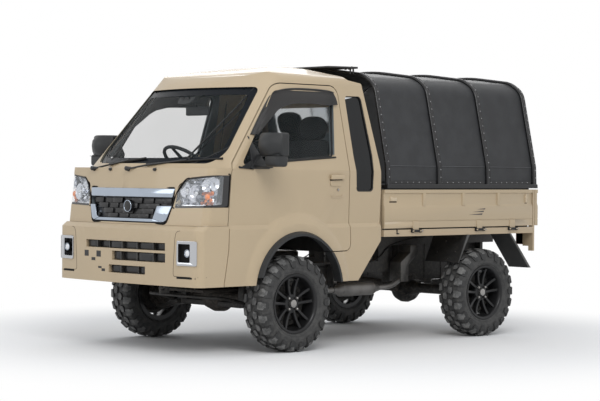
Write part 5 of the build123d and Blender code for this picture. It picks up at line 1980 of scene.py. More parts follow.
@dataclass
class Cabin:
    """Dashboard, steering wheel and seats."""

    seat_x: float = 0.330

    def dash(self) -> None:
        """Dashboard with a binnacle hump, vents and a centre stack."""
        half, front, rear = 0.598, at(-0.660), at(-0.444)
        mould = Mould().box((-half, front, 0.884), (half, rear, 1.160))
        mould.cut_along(0, 0.05, -half, half).cut_along(1, 0.05, front, rear)

        def sloped(p: Vector) -> Vector:
            """Lower the top towards its rear edge."""
            drop = 0.045 * ((p.y - front) / (rear - front)) ** 2 if p.z > 1.0 else 0.0
            return Vector((p.x, p.y, p.z - drop))

        mould.warp(sloped).bevel(0.014, 3, 40.0)
        mould.piece("dash_board", CHASSIS, DASH, angle=40.0, stands_for=["dashboard"])
        hump = Mould().ball((-self.seat_x, at(-0.520), 1.120), 0.175, (1.0, 0.55, 0.46))
        hump.piece("dash_binnacle", CHASSIS, DASH)
        trim = Mould()
        for x in (-0.54, -0.12, 0.12, 0.54):
            trim.box((x - 0.045, at(-0.452), 1.060), (x + 0.045, at(-0.438), 1.105))
        trim.box((-0.095, at(-0.452), 0.930), (0.095, at(-0.436), 1.045)).bevel(0.003, 2, 40.0)
        trim.piece("dash_vents", CHASSIS, GLOSS_BLACK)

    def wheel(self) -> None:
        """Steering wheel with a padded rim, three spokes and a boss."""
        tilt = math.radians(38.0)
        turn = Matrix.Translation((-self.seat_x, at(-0.010), 1.245)) @ Matrix.Rotation(-tilt, 4, "X")
        rim = Mould().pipe([turn @ p.xzy for p in circle(Vector(), 0.1715, 48)], 0.0128, False, 3)
        hub = Mould().rod((0, 0, -0.010), (0, 0, 0.010), 0.056, 0.046, 32).bevel(0.006, 3, 40.0)
        for a in (0.12, math.pi - 0.12, -math.pi / 2):
            d = Vector((math.cos(a), math.sin(a), 0))
            hub.rod(d * 0.04 - Vector((0, 0, 0.004)), d * 0.166, 0.013, 0.009, 10)
        hub.rod((0, 0, -0.56), (0, 0, -0.008), 0.025, 0.030, 24).warp(lambda p: turn @ p)
        rim.add(hub).piece("wheel_rim_and_boss", CHASSIS, DASH, angle=40.0, stands_for=["steering_wheel"])

    def pad(self, low: Point, high: Point, crown: Point, pinch: float) -> Mould:
        """A crowned cushion in a box.

        Args:
            low: lowest corner.
            high: highest corner.
            crown: how far each pair of faces swells.
            pinch: how far the sides draw in between the corners.

        Returns:
            The cushion's mesh.
        """
        mould = Mould().box(low, high)
        bmesh.ops.subdivide_edges(mould.bm, edges=mould.bm.edges[:], cuts=7, use_grid_fill=True)
        middle = (Vector(low) + Vector(high)) / 2
        half = (Vector(high) - Vector(low)) / 2

        def swell(p: Vector) -> Vector:
            """Crown the faces and pinch the sides."""
            u = Vector([(p[i] - middle[i]) / half[i] for i in range(3)])
            out = Vector(p)
            for i in range(3):
                j, k = (i + 1) % 3, (i + 2) % 3
                swollen = half[i] - crown[i] * (1 - (1 - u[j] ** 4) * (1 - u[k] ** 4))
                out[i] = middle[i] + u[i] * swollen * (1 - pinch * (1 - u[j] ** 2) * 0.2)
            return out

        mould.warp(swell)
        axes = {f"use_axis_{axis}": True for axis in "xyz"}
        bmesh.ops.smooth_vert(mould.bm, verts=mould.bm.verts[:], factor=0.4, **axes)
        return mould

    def seats(self) -> None:
        """Two padded seats with headrests."""
        for side in SIDES:
            tag = SIDE_NAME[side]
            x = side * self.seat_x
            stands = ["seats"] if side > 0 else []
            cushion = self.pad(
                (x - 0.232, at(-0.088), 0.838), (x + 0.232, at(0.420), 0.958), (0.020, 0.024, 0.022), 0.2
            )
            piece = cushion.piece(f"seat_cushion_{tag}", CHASSIS, SEAT_CLOTH, angle=80.0, stands_for=stands)
            self.soft(piece)
            back = self.pad((x - 0.226, -0.050, 0.0), (x + 0.226, 0.050, 0.500), (0.020, 0.014, 0.022), 0.3)
            lean = Matrix.Translation((0, at(0.455), 0.930)) @ Matrix.Rotation(math.radians(-13.5), 4, "X")
            back.warp(lambda p: lean @ p)
            self.soft(back.piece(f"seat_back_{tag}", CHASSIS, SEAT_CLOTH, angle=80.0))
            rest = self.pad(
                (x - 0.122, at(0.540), 1.400), (x + 0.122, at(0.630), 1.572), (0.024, 0.018, 0.024), 0.1
            )
            self.soft(rest.piece(f"head_rest_{tag}", CHASSIS, SEAT_CLOTH, angle=80.0))
            posts = Mould()
            for dx in (-0.045, 0.045):
                posts.rod((x + dx, at(0.572), 1.37), (x + dx, at(0.576), 1.45), 0.006, 0.006, 12)
            posts.bevel(0.001, 1, 60.0).piece(f"head_rest_posts_{tag}", CHASSIS, SATIN_BLACK)

    def soft(self, piece: bpy.types.Object) -> None:
        smooth = piece.modifiers.new("round", "SUBSURF")
        smooth.levels = smooth.render_levels = 1

    def build(self) -> None:
        """Make everything inside the cab."""
        self.dash()
        self.wheel()
        self.seats()


# ------------------------------------------------------------------ bed and canopy

HOOP_ROWS = (0.935, 1.4687, 2.0023, 2.536)
ARCH = ((0.7330, 1.098, 0.0), (0.7270, 1.232, 0.024), (0.6000, 1.802, 0.150), (0.4800, 1.885, 0.170))
ARCH_TOP = 1.945


def arch_line(inset: float, steps: int = 10) -> list[tuple[float, float]]:
    """Outline of the canopy from its left foot over the top to its right foot.

    Args:
        inset: how far it is drawn in.
        steps: facets in each bend.

    Returns:
        Points (x, z).
    """
    left = [(x - inset, z, r) for x, z, r in ARCH[:3]]
    left.append((ARCH[3][0] - inset * 0.5, ARCH[3][1] - inset, ARCH[3][2]))
    right = [(-x, z, r) for x, z, r in reversed(left)]
    return rounded([*left, (0.0, ARCH_TOP - inset, 1.5), *right], steps)


def evenly(points: Sequence[Point], pitch: float) -> list[Vector]:
    """Points at an even pitch along a line.

    Args:
        points: the line.
        pitch: the distance wanted between neighbours.

    Returns:
        The points, both ends among them.
    """
    places = [Vector(p) for p in points]
    lengths = distances(places)
    count = max(1, round(lengths[-1] / pitch))
    out = []
    index = 0
    for step in range(count + 1):
        want = lengths[-1] * step / count
        while index < len(lengths) - 2 and lengths[index + 1] < want:
            index += 1
        span = lengths[index + 1] - lengths[index]
        out.append(places[index].lerp(places[index + 1], (want - lengths[index]) / span if span else 0.0))
    return out


@dataclass
class Canopy:
    """Cloth canopy over four riveted hoops on a base rail."""

    nodes: dict[str, bpy.types.Object]
    bead_radius: float = 0.0122
    start: float = 0.9150
    end: float = 2.5560

    def arch(self, inset: float, pitch: float = 0.02) -> list[Vector]:
        """Even points (x, 0, z) over the canopy, drawn in by an inset."""
        return evenly([(x, 0.0, z) for x, z in arch_line(inset)], pitch)

    def outward(self, place: Vector) -> Vector:
        """Direction out of the canopy at a place of its arch."""
        if place.z < 1.24:
            return Vector((math.copysign(1.0, place.x), 0.0, 0.0))
        return Vector((place.x, 0.0, place.z - 1.24)).normalized()

    def cloth(self) -> None:
        """One stretched sheet over the hoops, with soft hollows between them."""
        mould = Mould()
        profile = self.arch(0.0205)
        line = [Vector((p.x, at(self.start), p.z)) for p in profile]
        steps = 76
        mould.sweep(line, Vector((0.0, (self.end - self.start) / steps, 0.0)), steps)
        pitch = HOOP_ROWS[1] - HOOP_ROWS[0]

        def sag(p: Vector) -> Vector:
            """Draw the sheet in between its hoops."""
            bay = (p.y - at(HOOP_ROWS[0])) / pitch
            hollow = abs(math.sin(math.pi * bay)) ** 0.7 if 0.0 < bay < 3.0 else 0.0
            ripple = 0.0010 * math.sin(7.0 * p.y + 5.0 * p.z) * math.sin(19.0 * p.z + 3.0 * p.y)
            depth = hollow * (0.0030 * (0.4 + 0.6 * abs(math.sin(2.2 * p.z))) + ripple)
            return p - self.outward(p) * depth

        mould.warp(sag).outwards(lambda f: f.calc_center_median().z)
        span = sum((b - a).length for a, b in zip(profile, profile[1:]))
        piece = mould.piece("canopy_cloth", CHASSIS, CANVAS, angle=70.0, stands_for=["canopy_skin"])
        shell = piece.modifiers.new("thick", "SOLIDIFY")
        shell.thickness = 0.0016
        shell.offset = -1.0
        self.end - self.start

    def strip(self, outer: float, inner: float, low: float, high: float) -> Mould:
        """An arch-shaped band between two insets and two rows."""
        mould = Mould()
        corners = [Vector((p.x, at(low), p.z)) for p in self.arch(outer, 0.03)]
        corners += [Vector((p.x, at(low), p.z)) for p in reversed(self.arch(inner, 0.03))]
        mould.plate(corners, (0.0, high - low, 0.0))
        return mould

    def hoops(self) -> None:
        """Bead, flange and rivets of each hoop."""
        beads = Mould()
        flats = Mould()
        rivets = Mould()
        for row in HOOP_ROWS:
            beads.pipe(
                [Vector((p.x, at(row - 0.0105), p.z)) for p in self.arch(0.0125)], self.bead_radius,
                False, 4
            )
            beads.pipe([Vector((p.x, at(row + 0.0185), p.z)) for p in self.arch(0.0105)], 0.0045, False, 2)
            flats.add(self.strip(0.0075, 0.0225, row - 0.020, row + 0.0215))
            for p in self.arch(0.0070, 0.055)[1:-1]:
                rivets.ball(Vector((p.x, at(row + 0.0095), p.z)), 0.0048)
        beads.piece("hoop_beads", CHASSIS, BEAD_BLACK, angle=60.0, stands_for=["canopy_hoops"])
        flats.piece("hoop_flanges", CHASSIS, CANOPY_BLACK, angle=40.0)
        rivets.piece("hoop_rivets", CHASSIS, RIVET, angle=60.0)

    def base(self) -> None:
        """Base rails with their beads and rivets."""
        dress(self.nodes["canopy_base"], CANOPY_BLACK)
        line = Mould()
        seam = Mould()
        rivets = Mould()
        for side in SIDES:
            for x, z, radius in ((0.7300, 1.0995, 0.0065), (0.7330, 1.0785, 0.0035)):
                line.pipe([(side * x, at(self.start), z), (side * x, at(self.end), z)], radius, False, 3)
            y = 0.960
            while y < 2.53:
                if min(abs(y - row) for row in HOOP_ROWS) > 0.03:
                    rivets.ball((side * 0.7140, at(y), 1.1165), 0.0042)
                y += 0.060
            # Lighter grey pipes along the cloth's crease, a painted highlight.
            for first, last in zip(HOOP_ROWS, HOOP_ROWS[1:]):
                seam.pipe(
                    [
                        (side * 0.7080, at(first + 0.030), 1.2315),
                        (side * 0.7066, at((first + last) / 2), 1.2315),
                        (side * 0.7080, at(last - 0.030), 1.2315)
                    ],
                    0.0026, True, 2
                )
        seam.piece("cloth_crease_highlights", CHASSIS, CANVAS_CREASE_HIGHLIGHT, angle=60.0)
        line.piece("base_bead", CHASSIS, BEAD_BLACK, angle=60.0)
        rivets.piece("base_rivets", CHASSIS, RIVET, angle=60.0)
        flange = Mould()
        for side in SIDES:
            flange.box((side * 0.7105, at(self.start), 1.098), (side * 0.7150, at(self.end), 1.128))
        flange.bevel(0.0008, 1, 60.0).piece("base_flange", CHASSIS, CANOPY_BLACK)

    def plate(self) -> None:
        """Rolled edge and bolts of the over-cab plate."""
        cover = Mould().welded(self.nodes["over_cab_plate"], 0.6)
        stands = ["over_cab_plate"]
        piece = cover.piece("over_cab_cover", CHASSIS, SATIN_BLACK, angle=32.0, stands_for=stands)
        edged(piece, 0.002, 32.0, False)
        edge = Mould()
        spots = [(-0.43, 0.908), (-0.362, 0.703), (0.362, 0.703), (0.43, 0.908)]
        edge.pipe([Vector((x, at(y), 1.9165)) for x, y in spots], 0.005, False, 3)
        edge.piece("over_cab_edge", CHASSIS, BEAD_BLACK, angle=60.0)
        ring = Mould()
        for side in SIDES:
            x = side * 0.405
            ring.pipe([(x, at(y), z) for y, z in (
                (0.872, 1.876), (0.872, 1.905), (0.876, 1.919), (0.887, 1.9255), (0.898, 1.919),
                (0.902, 1.905), (0.902, 1.876),
            )], 0.0062, True, 3)
        ring.piece("lifting_eyes", CHASSIS, SATIN_BLACK, angle=60.0)
        bolts = Mould()
        for x in (-0.385, -0.350, 0.350, 0.385):
            bolts.rod((x, at(0.880), 1.9125), (x, at(0.880), 1.9055), 0.0085, 0.0085, 6)
        bolts.bevel(0.0008, 1, 50.0).piece("over_cab_bolts", CHASSIS, STEEL)

    def build(self) -> None:
        """Make the canopy's pieces."""
        self.cloth()
        self.hoops()
        self.base()
        self.plate()


@dataclass
class Bed:
    """Latches, hinge stops, stripes, lamps and the blank plate of the bed."""

    face: float = BODY_HALF
    stripe_rows: Sequence[tuple[float, float, float, float, float]] = (
        (1.767, 1.921, 0.8835, 0.8870, 0.0058), (1.810, 1.937, 0.9035, 0.9065, 0.0054),
        (1.857, 1.953, 0.9225, 0.9250, 0.0048),
    )

    def latches(self, side: int) -> None:
        """Lever latches at both ends of a side gate, in a lighter khaki that is a painted highlight, each
        over a black strip of painted shadow.
        """
        tag = SIDE_NAME[side]
        x = self.face - 0.0095
        mould = Mould()
        shade = Mould()
        for low, high in (((0.946, 0.986), (1.010, 1.012)), ((2.418, 0.968), (2.436, 1.030))):
            part = Mould().box((x - 0.001, at(low[0]), low[1]), (x + 0.0075, at(high[0]), high[1]))
            part.bevel(0.0030, 2, 40.0)
            knob = (low[0] + 0.010, (low[1] + high[1]) / 2 + 0.006)
            part.rod((x, at(knob[0]), knob[1]), (x + 0.0090, at(knob[0]), knob[1]), 0.0135, 0.0120, 20)
            mould.add(part)
            # Black strip just under each latch, a painted shadow.
            shade.box(
                (x - 0.0005, at(low[0] - 0.006), low[1] - 0.010),
                (x + 0.0006, at(high[0] + 0.004), low[1] - 0.002)
            )
        mould.on_side(side).piece(f"gate_latches_{tag}", f"gate_{tag}", KHAKI_PAINTED_HIGHLIGHT, angle=40.0)
        shade.on_side(side).piece(f"latch_painted_shadows_{tag}", f"gate_{tag}", DEEP_BLACK)

    def stops(self) -> None:
        """Rubber stops with bright tips beside the hinge lugs, rope hooks, and black strips of painted shade
        in the gaps along the gates.
        """
        rubber = Mould()
        tips = Mould()
        hooks = Mould()
        for side in SIDES:
            inner, middle, outer = self.face - 0.002, self.face + 0.006, self.face + 0.0175
            for y in GATE_HINGES:
                part = Mould()
                for low in (y - 0.050, y + 0.0325):
                    part.box((inner, at(low), 0.764), (outer, at(low + 0.0175), 0.7875))
                rubber.add(part.bevel(0.004, 2, 40.0).on_side(side))
                ends = ((middle, at(y + 0.050), 0.776), (middle, at(y + 0.076), 0.776))
                tips.add(Mould().rod(*ends, 0.008, 0.003, 16).bevel(0.001, 2, 40.0).on_side(side))
            part = Mould().box((inner, at(1.006), 0.756), (middle, at(1.013), 0.788))
            part.box((inner, at(1.006), 0.756), (middle, at(1.030), 0.763)).bevel(0.001, 1, 40.0)
            hooks.add(part.on_side(side))
        # Black strips set in the gaps beside the gates, a painted shade.
        seals = Mould()
        for side in SIDES:
            for x0, x1, z0, z1 in ((0.676, 0.688, 0.770, 0.801), (0.688, 0.699, 1.054, 1.076)):
                seals.box((side * x0, at(0.890), z0), (side * x1, at(2.500), z1))
        seals.bevel(0.002, 1, 40.0).piece("gap_painted_shade", CHASSIS, SEAL, angle=40.0)
        rubber.piece("gate_stops", CHASSIS, SEAL, angle=40.0)
        tips.piece("stop_tips", CHASSIS, SILVER, angle=40.0)
        hooks.piece("rope_hooks", CHASSIS, SATIN_BLACK, angle=40.0)

    def stripes(self, side: int) -> None:
        """Three swept stripes on a gate."""
        tag = SIDE_NAME[side]
        mould = Mould()
        for y0, y1, z0, z1, thick in self.stripe_rows:
            x = self.face + 0.0001
            corners = [(x, at(y0), z0), (x, at(y1 - 0.005), z1 - thick), (x, at(y1), z1 + thick)]
            mould.plate(corners, (0.0005, 0, 0))
        mould.on_side(side).piece(f"gate_stripes_{tag}", f"gate_{tag}", STRIPE)

    def lamps(self, side: int) -> None:
        """One tail lamp: a housing with red, amber and clear lenses."""
        tag = SIDE_NAME[side]
        low, high = self.face - 0.1775, self.face - 0.0475
        housing = Mould().box((low, at(2.521), 0.650), (high, at(2.532), 0.735))
        housing.bevel(0.003, 2, 40.0).on_side(side).piece(f"tail_housing_{tag}", CHASSIS, SATIN_BLACK)
        for name, start, end, finish in (
            ("red", 0.0, 0.46, RED_LENS), ("amber", 0.47, 0.74, AMBER), ("clear", 0.75, 1.0, WHITE_LENS),
        ):
            span = high - low - 0.008
            lens = Mould().box(
                (high - 0.004 - span * end, at(2.530), 0.655),
                (high - 0.004 - span * start, at(2.5395), 0.730)
            )
            lens.bevel(0.0035, 3, 40.0).on_side(side).piece(f"tail_lens_{name}_{tag}", CHASSIS, finish)

    def rear(self) -> None:
        """The blank plate with its screws and lamp, and the tailgate's latches in a lighter khaki that is a
        painted highlight.
        """
        plate = Mould()
        corners = [(-0.165, 0.558), (0.165, 0.558), (0.165, 0.718), (-0.165, 0.718)]
        plate.plate([(x, at(2.4905), z) for x, z in corners], (0, 0.0015, 0), 0.010)
        plate.bevel(0.0004, 1, 40.0).piece("blank_plate", CHASSIS, PLATE_WHITE)
        screws = Mould()
        for x in (-0.105, 0.105):
            screws.rod((x, at(2.4915), 0.610), (x, at(2.4975), 0.610), 0.008, 0.007, 6)
        screws.bevel(0.0006, 1, 50.0).piece("plate_screws", CHASSIS, STEEL)
        lamp = Mould().box((-0.045, at(2.488), 0.724), (0.045, at(2.512), 0.744))
        lamp.bevel(0.004, 3, 40.0).piece("plate_lamp", CHASSIS, PLASTIC)
        # The latches take the lighter khaki, a painted highlight.
        grip = Mould()
        for x in (-0.62, 0.62):
            part = Mould().box((x - 0.032, at(2.5400), 0.9985), (x + 0.032, at(2.5560), 1.0245))
            part.box((x - 0.012, at(2.5400), 0.972), (x + 0.012, at(2.5580), 1.004))
            grip.add(part.bevel(0.0025, 2, 40.0))
        grip.piece("tailgate_latches", "tailgate", KHAKI_PAINTED_HIGHLIGHT, angle=40.0)

    def build(self) -> None:
        """Make the bed's fittings."""
        for side in SIDES:
            self.latches(side)
            self.stripes(side)
            self.lamps(side)
        self.stops()
        self.rear()


@dataclass
class Underside:
    """Springs, silencer, brackets, bolts and lines."""

    leaf_x: tuple[float, float] = (0.301, 0.359)
    spring_low: float = TYRE_R + 0.0385

    def bend(self, y: float) -> float:
        """How far a leaf has risen at a distance along it from the axle."""
        return (0.470 - self.spring_low) * (y / 0.465) ** 2

    def springs(self) -> None:
        """Leaf packs with clips and shackles on the rear axle."""
        low, high = self.leaf_x
        for side in SIDES:
            mould = Mould()
            for leaf in range(4):
                reach = 0.452 - leaf * 0.085
                base = 0.027 - leaf * 0.0088
                part = Mould().box((low, -reach, base), (high, reach, base + 0.0078))
                part.cut_along(1, 0.06, -reach, reach)
                part.warp(
                    lambda p: Vector((p.x, at(WHEELBASE + p.y), p.z + self.spring_low + self.bend(p.y)))
                )
                mould.add(part)
            for y in (-0.30, 0.30):
                z = self.spring_low + self.bend(y)
                mould.box((low - 0.003, at(WHEELBASE + y - 0.014), z - 0.002),
                          (high + 0.003, at(WHEELBASE + y + 0.014), z + 0.038))
            for y in (-0.455, 0.455):
                mould.box((low, at(WHEELBASE + y - 0.014), 0.470), (high, at(WHEELBASE + y + 0.016), 0.660))
                mould.across(WHEELBASE + y, 0.486, low - 0.006, high + 0.006, 0.013)
            mould.bevel(0.0012, 1, 50.0).on_side(side)
            mould.piece(f"leaf_springs_{SIDE_NAME[side]}", CHASSIS, FRAME_BLACK, angle=40.0,
                        stands_for=["rear_springs"] if side > 0 else [])

    def exhaust(self) -> None:
        """Silencer with coned ends, its pipes and the fuel tank."""
        mould = Mould()
        profile = [
            (0.0, 0.0), (0.0, 0.024), (0.030, 0.030), (0.062, 0.046), (0.070, 0.0485), (0.375, 0.0485),
            (0.385, 0.046), (0.420, 0.030), (0.450, 0.024), (0.450, 0.0)
        ]
        mould.lathe(profile, (0, 0, 0), 48)
        for x in (0.078, 0.372):
            mould.lathe([(x - 0.006, 0.0480), (x - 0.006, 0.0490), (x + 0.006, 0.0490), (x + 0.006, 0.0480)],
                        (0, 0, 0), 40, True)
        mould.warp(lambda p: Vector((0.460 - p.y, at(0.660 + p.x), 0.366 + p.z)))
        mould.box((0.3605, at(0.700), 0.392), (0.430, at(0.730), 0.540))
        mould.piece("silencer", CHASSIS, STEEL, angle=40.0, stands_for=["silencer_and_tank"])
        pipe = Mould().pipe([(0.460, at(0.662), 0.366), (0.455, at(0.60), 0.366), (0.40, at(0.48), 0.372),
                   (0.32, at(0.40), 0.400), (0.22, at(0.30), 0.430)], 0.021, True, 4)
        pipe.pipe([(0.460, at(1.108), 0.366), (0.462, at(1.18), 0.366), (0.452, at(1.30), 0.380),
                   (0.430, at(1.42), 0.450)], 0.019, True, 4)
        pipe.piece("exhaust_pipes", CHASSIS, STEEL, angle=60.0)
        tank = Mould().box((-0.640, at(0.620), 0.382), (-0.3605, at(1.120), 0.600)).bevel(0.016, 4, 40.0)
        tank.box((-0.640, at(0.620), 0.486), (-0.358, at(1.120), 0.492))
        tank.piece("fuel_tank", CHASSIS, FRAME_BLACK, angle=40.0)

    def brackets(self) -> None:
        """Folded bracket, guard bolts and lines along the rails."""
        mould = Mould()
        fold = [
            (1.440, 0.660), (1.520, 0.660), (1.520, 0.600), (1.420, 0.520), (1.420, 0.400),
            (1.340, 0.400), (1.340, 0.540), (1.440, 0.610)
        ]
        mould.plate([(0.3610, at(y), z) for y, z in fold], (0.110, 0, 0))
        mould.bevel(0.003, 2, 40.0).piece("folded_bracket", CHASSIS, STEEL_DARK, angle=40.0)
        bolts = Mould()
        for side in SIDES:
            for x, z in ((0.575, 0.690), (0.520, 0.610), (0.690, 0.620), (0.640, 0.565)):
                spot = Vector((side * x, at(WHEELBASE - 0.162 - (0.740 - z) * 0.45), z))
                bolts.rod(
                    spot + Vector((0, 0.004, 0)), spot + Vector((0, -0.008, -0.003)), 0.0065, 0.0055, 6
                )
        bolts.piece("guard_bolts", CHASSIS, STEEL)
        lines = Mould()
        for side, z in ((1, 0.525), (-1, 0.515)):
            x = side * 0.3665
            lines.pipe(
                [
                    (x, at(-0.60), z), (x, at(0.20), z - 0.012), (x, at(0.80), z),
                    (x, at(1.205), z + 0.01), (x, at(1.345), z + 0.17), (x, at(1.70), z + 0.185)
                ],
                0.0045, True, 2
            )
        lines.piece("rail_lines", CHASSIS, SEAL, angle=60.0)

    def axle(self) -> None:
        """Rear axle tube with its differential case and hub flanges."""
        case = Mould()
        profile = [
            (-0.075, 0.0), (-0.075, 0.070), (-0.060, 0.098), (-0.020, 0.113), (0.020, 0.113),
            (0.060, 0.098), (0.075, 0.070), (0.075, 0.0)
        ]
        case.lathe(profile, (0, at(WHEELBASE), TYRE_R), 40)
        runs = ((0.07, 0.16, 0.055, 0.0375), (0.15, 0.600, 0.0372, 0.0372), (0.598, 0.634, 0.110, 0.114),
                (0.630, 0.740, 0.0275, 0.0275))
        for sign in SIDES:
            for start, end, radius, last in runs:
                case.across(WHEELBASE, TYRE_R, sign * start, sign * end, radius, last, sides=36)
        for step in range(10):
            angle = math.tau * step / 10
            y, z = 0.080 * math.cos(angle), 0.080 * math.sin(angle)
            case.across(WHEELBASE + y, TYRE_R + z, 0.052, 0.078, 0.007, sides=6)
        case.bevel(0.002, 1, 50.0)
        case.piece("rear_axle_case", CHASSIS, FRAME_BLACK, angle=40.0, stands_for=["rear_axle"])

    def front(self) -> None:
        """Lower arms, subframe, differential, rack and stabiliser of the front."""
        arms = Mould().box((-0.300, at(-0.055), 0.262), (0.300, at(0.055), 0.298))
        for side in SIDES:
            arms.box((side * 0.300 - 0.028, at(-0.052), 0.264), (side * 0.300 + 0.028, at(0.052), 0.470))
            shape = [
                (0.350, -0.07), (0.350, 0.07), (0.560, 0.028), (0.655, 0.026), (0.655, -0.026),
                (0.560, -0.028)
            ]
            arms.plate([(side * x, at(y), 0.190 + (0.655 - x) * 0.24) for x, y in shape], (0, 0, 0.030))
        arms.bevel(0.004, 2, 40.0)
        arms.piece("front_arms", CHASSIS, FRAME_BLACK, angle=40.0, stands_for=["front_suspension"])
        gear = Mould()
        case = [
            (-0.245, 0.0), (-0.245, 0.030), (-0.150, 0.040), (-0.100, 0.082), (-0.020, 0.104),
            (0.050, 0.100), (0.110, 0.060), (0.245, 0.034), (0.245, 0.0)
        ]
        gear.lathe(case, (0, at(0.020), 0.325), 36)
        gear.box((-0.235, at(-0.330), 0.372), (0.235, at(-0.020), 0.392))
        gear.box((-0.200, at(0.080), 0.330), (0.215, at(0.420), 0.470))
        for x in (-0.15, -0.05, 0.05, 0.15):
            gear.box((x - 0.006, at(0.072), 0.325), (x + 0.006, at(0.428), 0.470))
            gear.box((x - 0.006, at(-0.330), 0.388), (x + 0.006, at(-0.040), 0.405))
        gear.box((-0.420, at(-0.640), 0.452), (0.420, at(-0.560), 0.520))
        gear.bevel(0.004, 2, 40.0).piece("front_gear", CHASSIS, IRON, angle=40.0)
        shafts = Mould()
        for side in SIDES:
            shafts.rod(
                (side * 0.240, at(0.020), 0.322), (side * 0.560, at(0.004), 0.318), 0.0125, 0.0125, 20
            )
            for x, radius in (
                (0.262, 0.036), (0.285, 0.030), (0.306, 0.024), (0.520, 0.026), (0.545, 0.033)
            ):
                shafts.across(0.018, 0.322, side * (x - 0.010), side * (x + 0.010), radius)
            shafts.across(0.128, 0.345, side * 0.300, side * 0.460, 0.026, 0.018)
            for x in (0.315, 0.345, 0.375, 0.405, 0.435):
                radius = 0.034 - (x - 0.315) * 0.09
                shafts.across(0.128, 0.345, side * (x - 0.007), side * (x + 0.007), radius)
        shafts.across(0.128, 0.345, -0.300, 0.300, 0.024, sides=24)
        bar = [
            (-0.395, -0.030, 0.282), (-0.375, -0.200, 0.330), (-0.345, -0.300, 0.345),
            (-0.300, -0.345, 0.345), (0.300, -0.345, 0.345), (0.345, -0.300, 0.345),
            (0.375, -0.200, 0.330), (0.395, -0.030, 0.282)
        ]
        shafts.pipe([(x, at(y), z) for x, y, z in bar], 0.0115, True, 3)
        shafts.bevel(0.002, 1, 50.0).piece("front_shafts", CHASSIS, FRAME_BLACK, angle=40.0)

    def shields(self) -> None:
        """Dished splash plates behind the brakes."""
        for side in SIDES:
            tag = SIDE_NAME[side]
            for name, body, y in (("front", f"knuckle_{tag}", 0.0), ("rear", CHASSIS, WHEELBASE)):
                plate = Mould()
                profile = [
                    (-0.022, 0.032), (-0.022, 0.120), (-0.012, 0.128), (-0.012, 0.1500), (-0.009, 0.1500),
                    (-0.009, 0.126), (-0.019, 0.118), (-0.019, 0.032)
                ]
                plate.lathe(profile, (0, 0, 0), 56, True).on_side(side)
                plate.moved((side * HALF_TRACK, at(y), TYRE_R))
                plate.piece(f"{name}_shield_{tag}", body, FRAME_BLACK, angle=40.0)

    def driveline(self) -> None:
        """Gearbox, transfer case, propeller shaft and the guards inside the rails."""
        gear = Mould()
        case = [(0.0, 0.0), (0.0, 0.135), (0.100, 0.150), (0.130, 0.110), (0.300, 0.092), (0.420, 0.088),
                (0.440, 0.105), (0.560, 0.105), (0.580, 0.060), (0.640, 0.045), (0.640, 0.0)]
        gear.lathe(case, (0, 0, 0), 32).warp(lambda p: Vector((-p.y, at(0.430 + p.x), 0.430 + p.z)))
        gear.rod((0.0, at(1.070), 0.428), (0.0, at(1.790), 0.335), 0.032, 0.032, 24)
        for y, z in ((1.090, 0.4255), (1.765, 0.338)):
            gear.rod((0.0, at(y - 0.022), z + 0.003), (0.0, at(y + 0.022), z - 0.003), 0.046, 0.046, 24)
        gear.box((-0.300, at(0.960), 0.418), (0.300, at(1.030), 0.474))
        gear.bevel(0.003, 2, 50.0).piece("driveline", CHASSIS, IRON, angle=40.0)
        guard = Mould()
        for side in SIDES:
            guard.box((side * 0.290, at(1.330), 0.392), (side * 0.294, at(2.400), 0.738))
            for step in range(6):
                y = 1.42 + 0.18 * step
                guard.box((side * 0.286, at(y), 0.400), (side * 0.298, at(y + 0.03), 0.730))
        guard.bevel(0.002, 1, 50.0).piece("inner_guards", CHASSIS, FRAME_BLACK, angle=40.0)
        # Light grey strips along the mudguards' edges, a painted highlight.
        edges = Mould()
        for side in SIDES:
            x = side * 0.7435
            fore = [(1.738, 0.740), (1.772, 0.740), (1.655, 0.538), (1.648, 0.538)]
            aft = [(2.214, 0.740), (2.240, 0.740), (2.472, 0.480), (2.446, 0.480)]
            for shape in (fore, aft):
                edges.plate([(x - 0.0025, at(y), z) for y, z in shape], (0.0060, 0, 0))
        edges.bevel(0.001, 1, 40.0).piece("guard_edge_highlights", CHASSIS, EDGE_HIGHLIGHT_GREY, angle=40.0)

    def build(self) -> None:
        """Make the pieces under the truck."""
        self.springs()
        self.exhaust()
        self.brackets()
        self.axle()
        self.front()
        self.shields()
        self.driveline()


# ------------------------------------------------------------------ the truck

RELIEF = 0.017
CREST = ((0.0, 0.070, 0.426), 0.462, 0.490)
BAND = (0.812, 0.838, 1.171)


def relief(p: Vector) -> Vector:
    """Body side drawn in above its lower band, but not on the crest of the arch."""
    y, x, z = p.y - AXLE_Y, abs(p.x), p.z
    if y > 0.93 or not BAND[0] < z < BAND[2]:
        return p
    depth = RELIEF * min(ramp(z, BAND[0], BAND[1]), 1.0 - ramp(z, BAND[1], BAND[2]))
    depth *= ramp(math.hypot(y - CREST[0][1], z - CREST[0][2]), CREST[1], CREST[2])
    depth *= ramp(x, 0.690, 0.722)
    return Vector((math.copysign(x - depth, p.x), p.y, z))


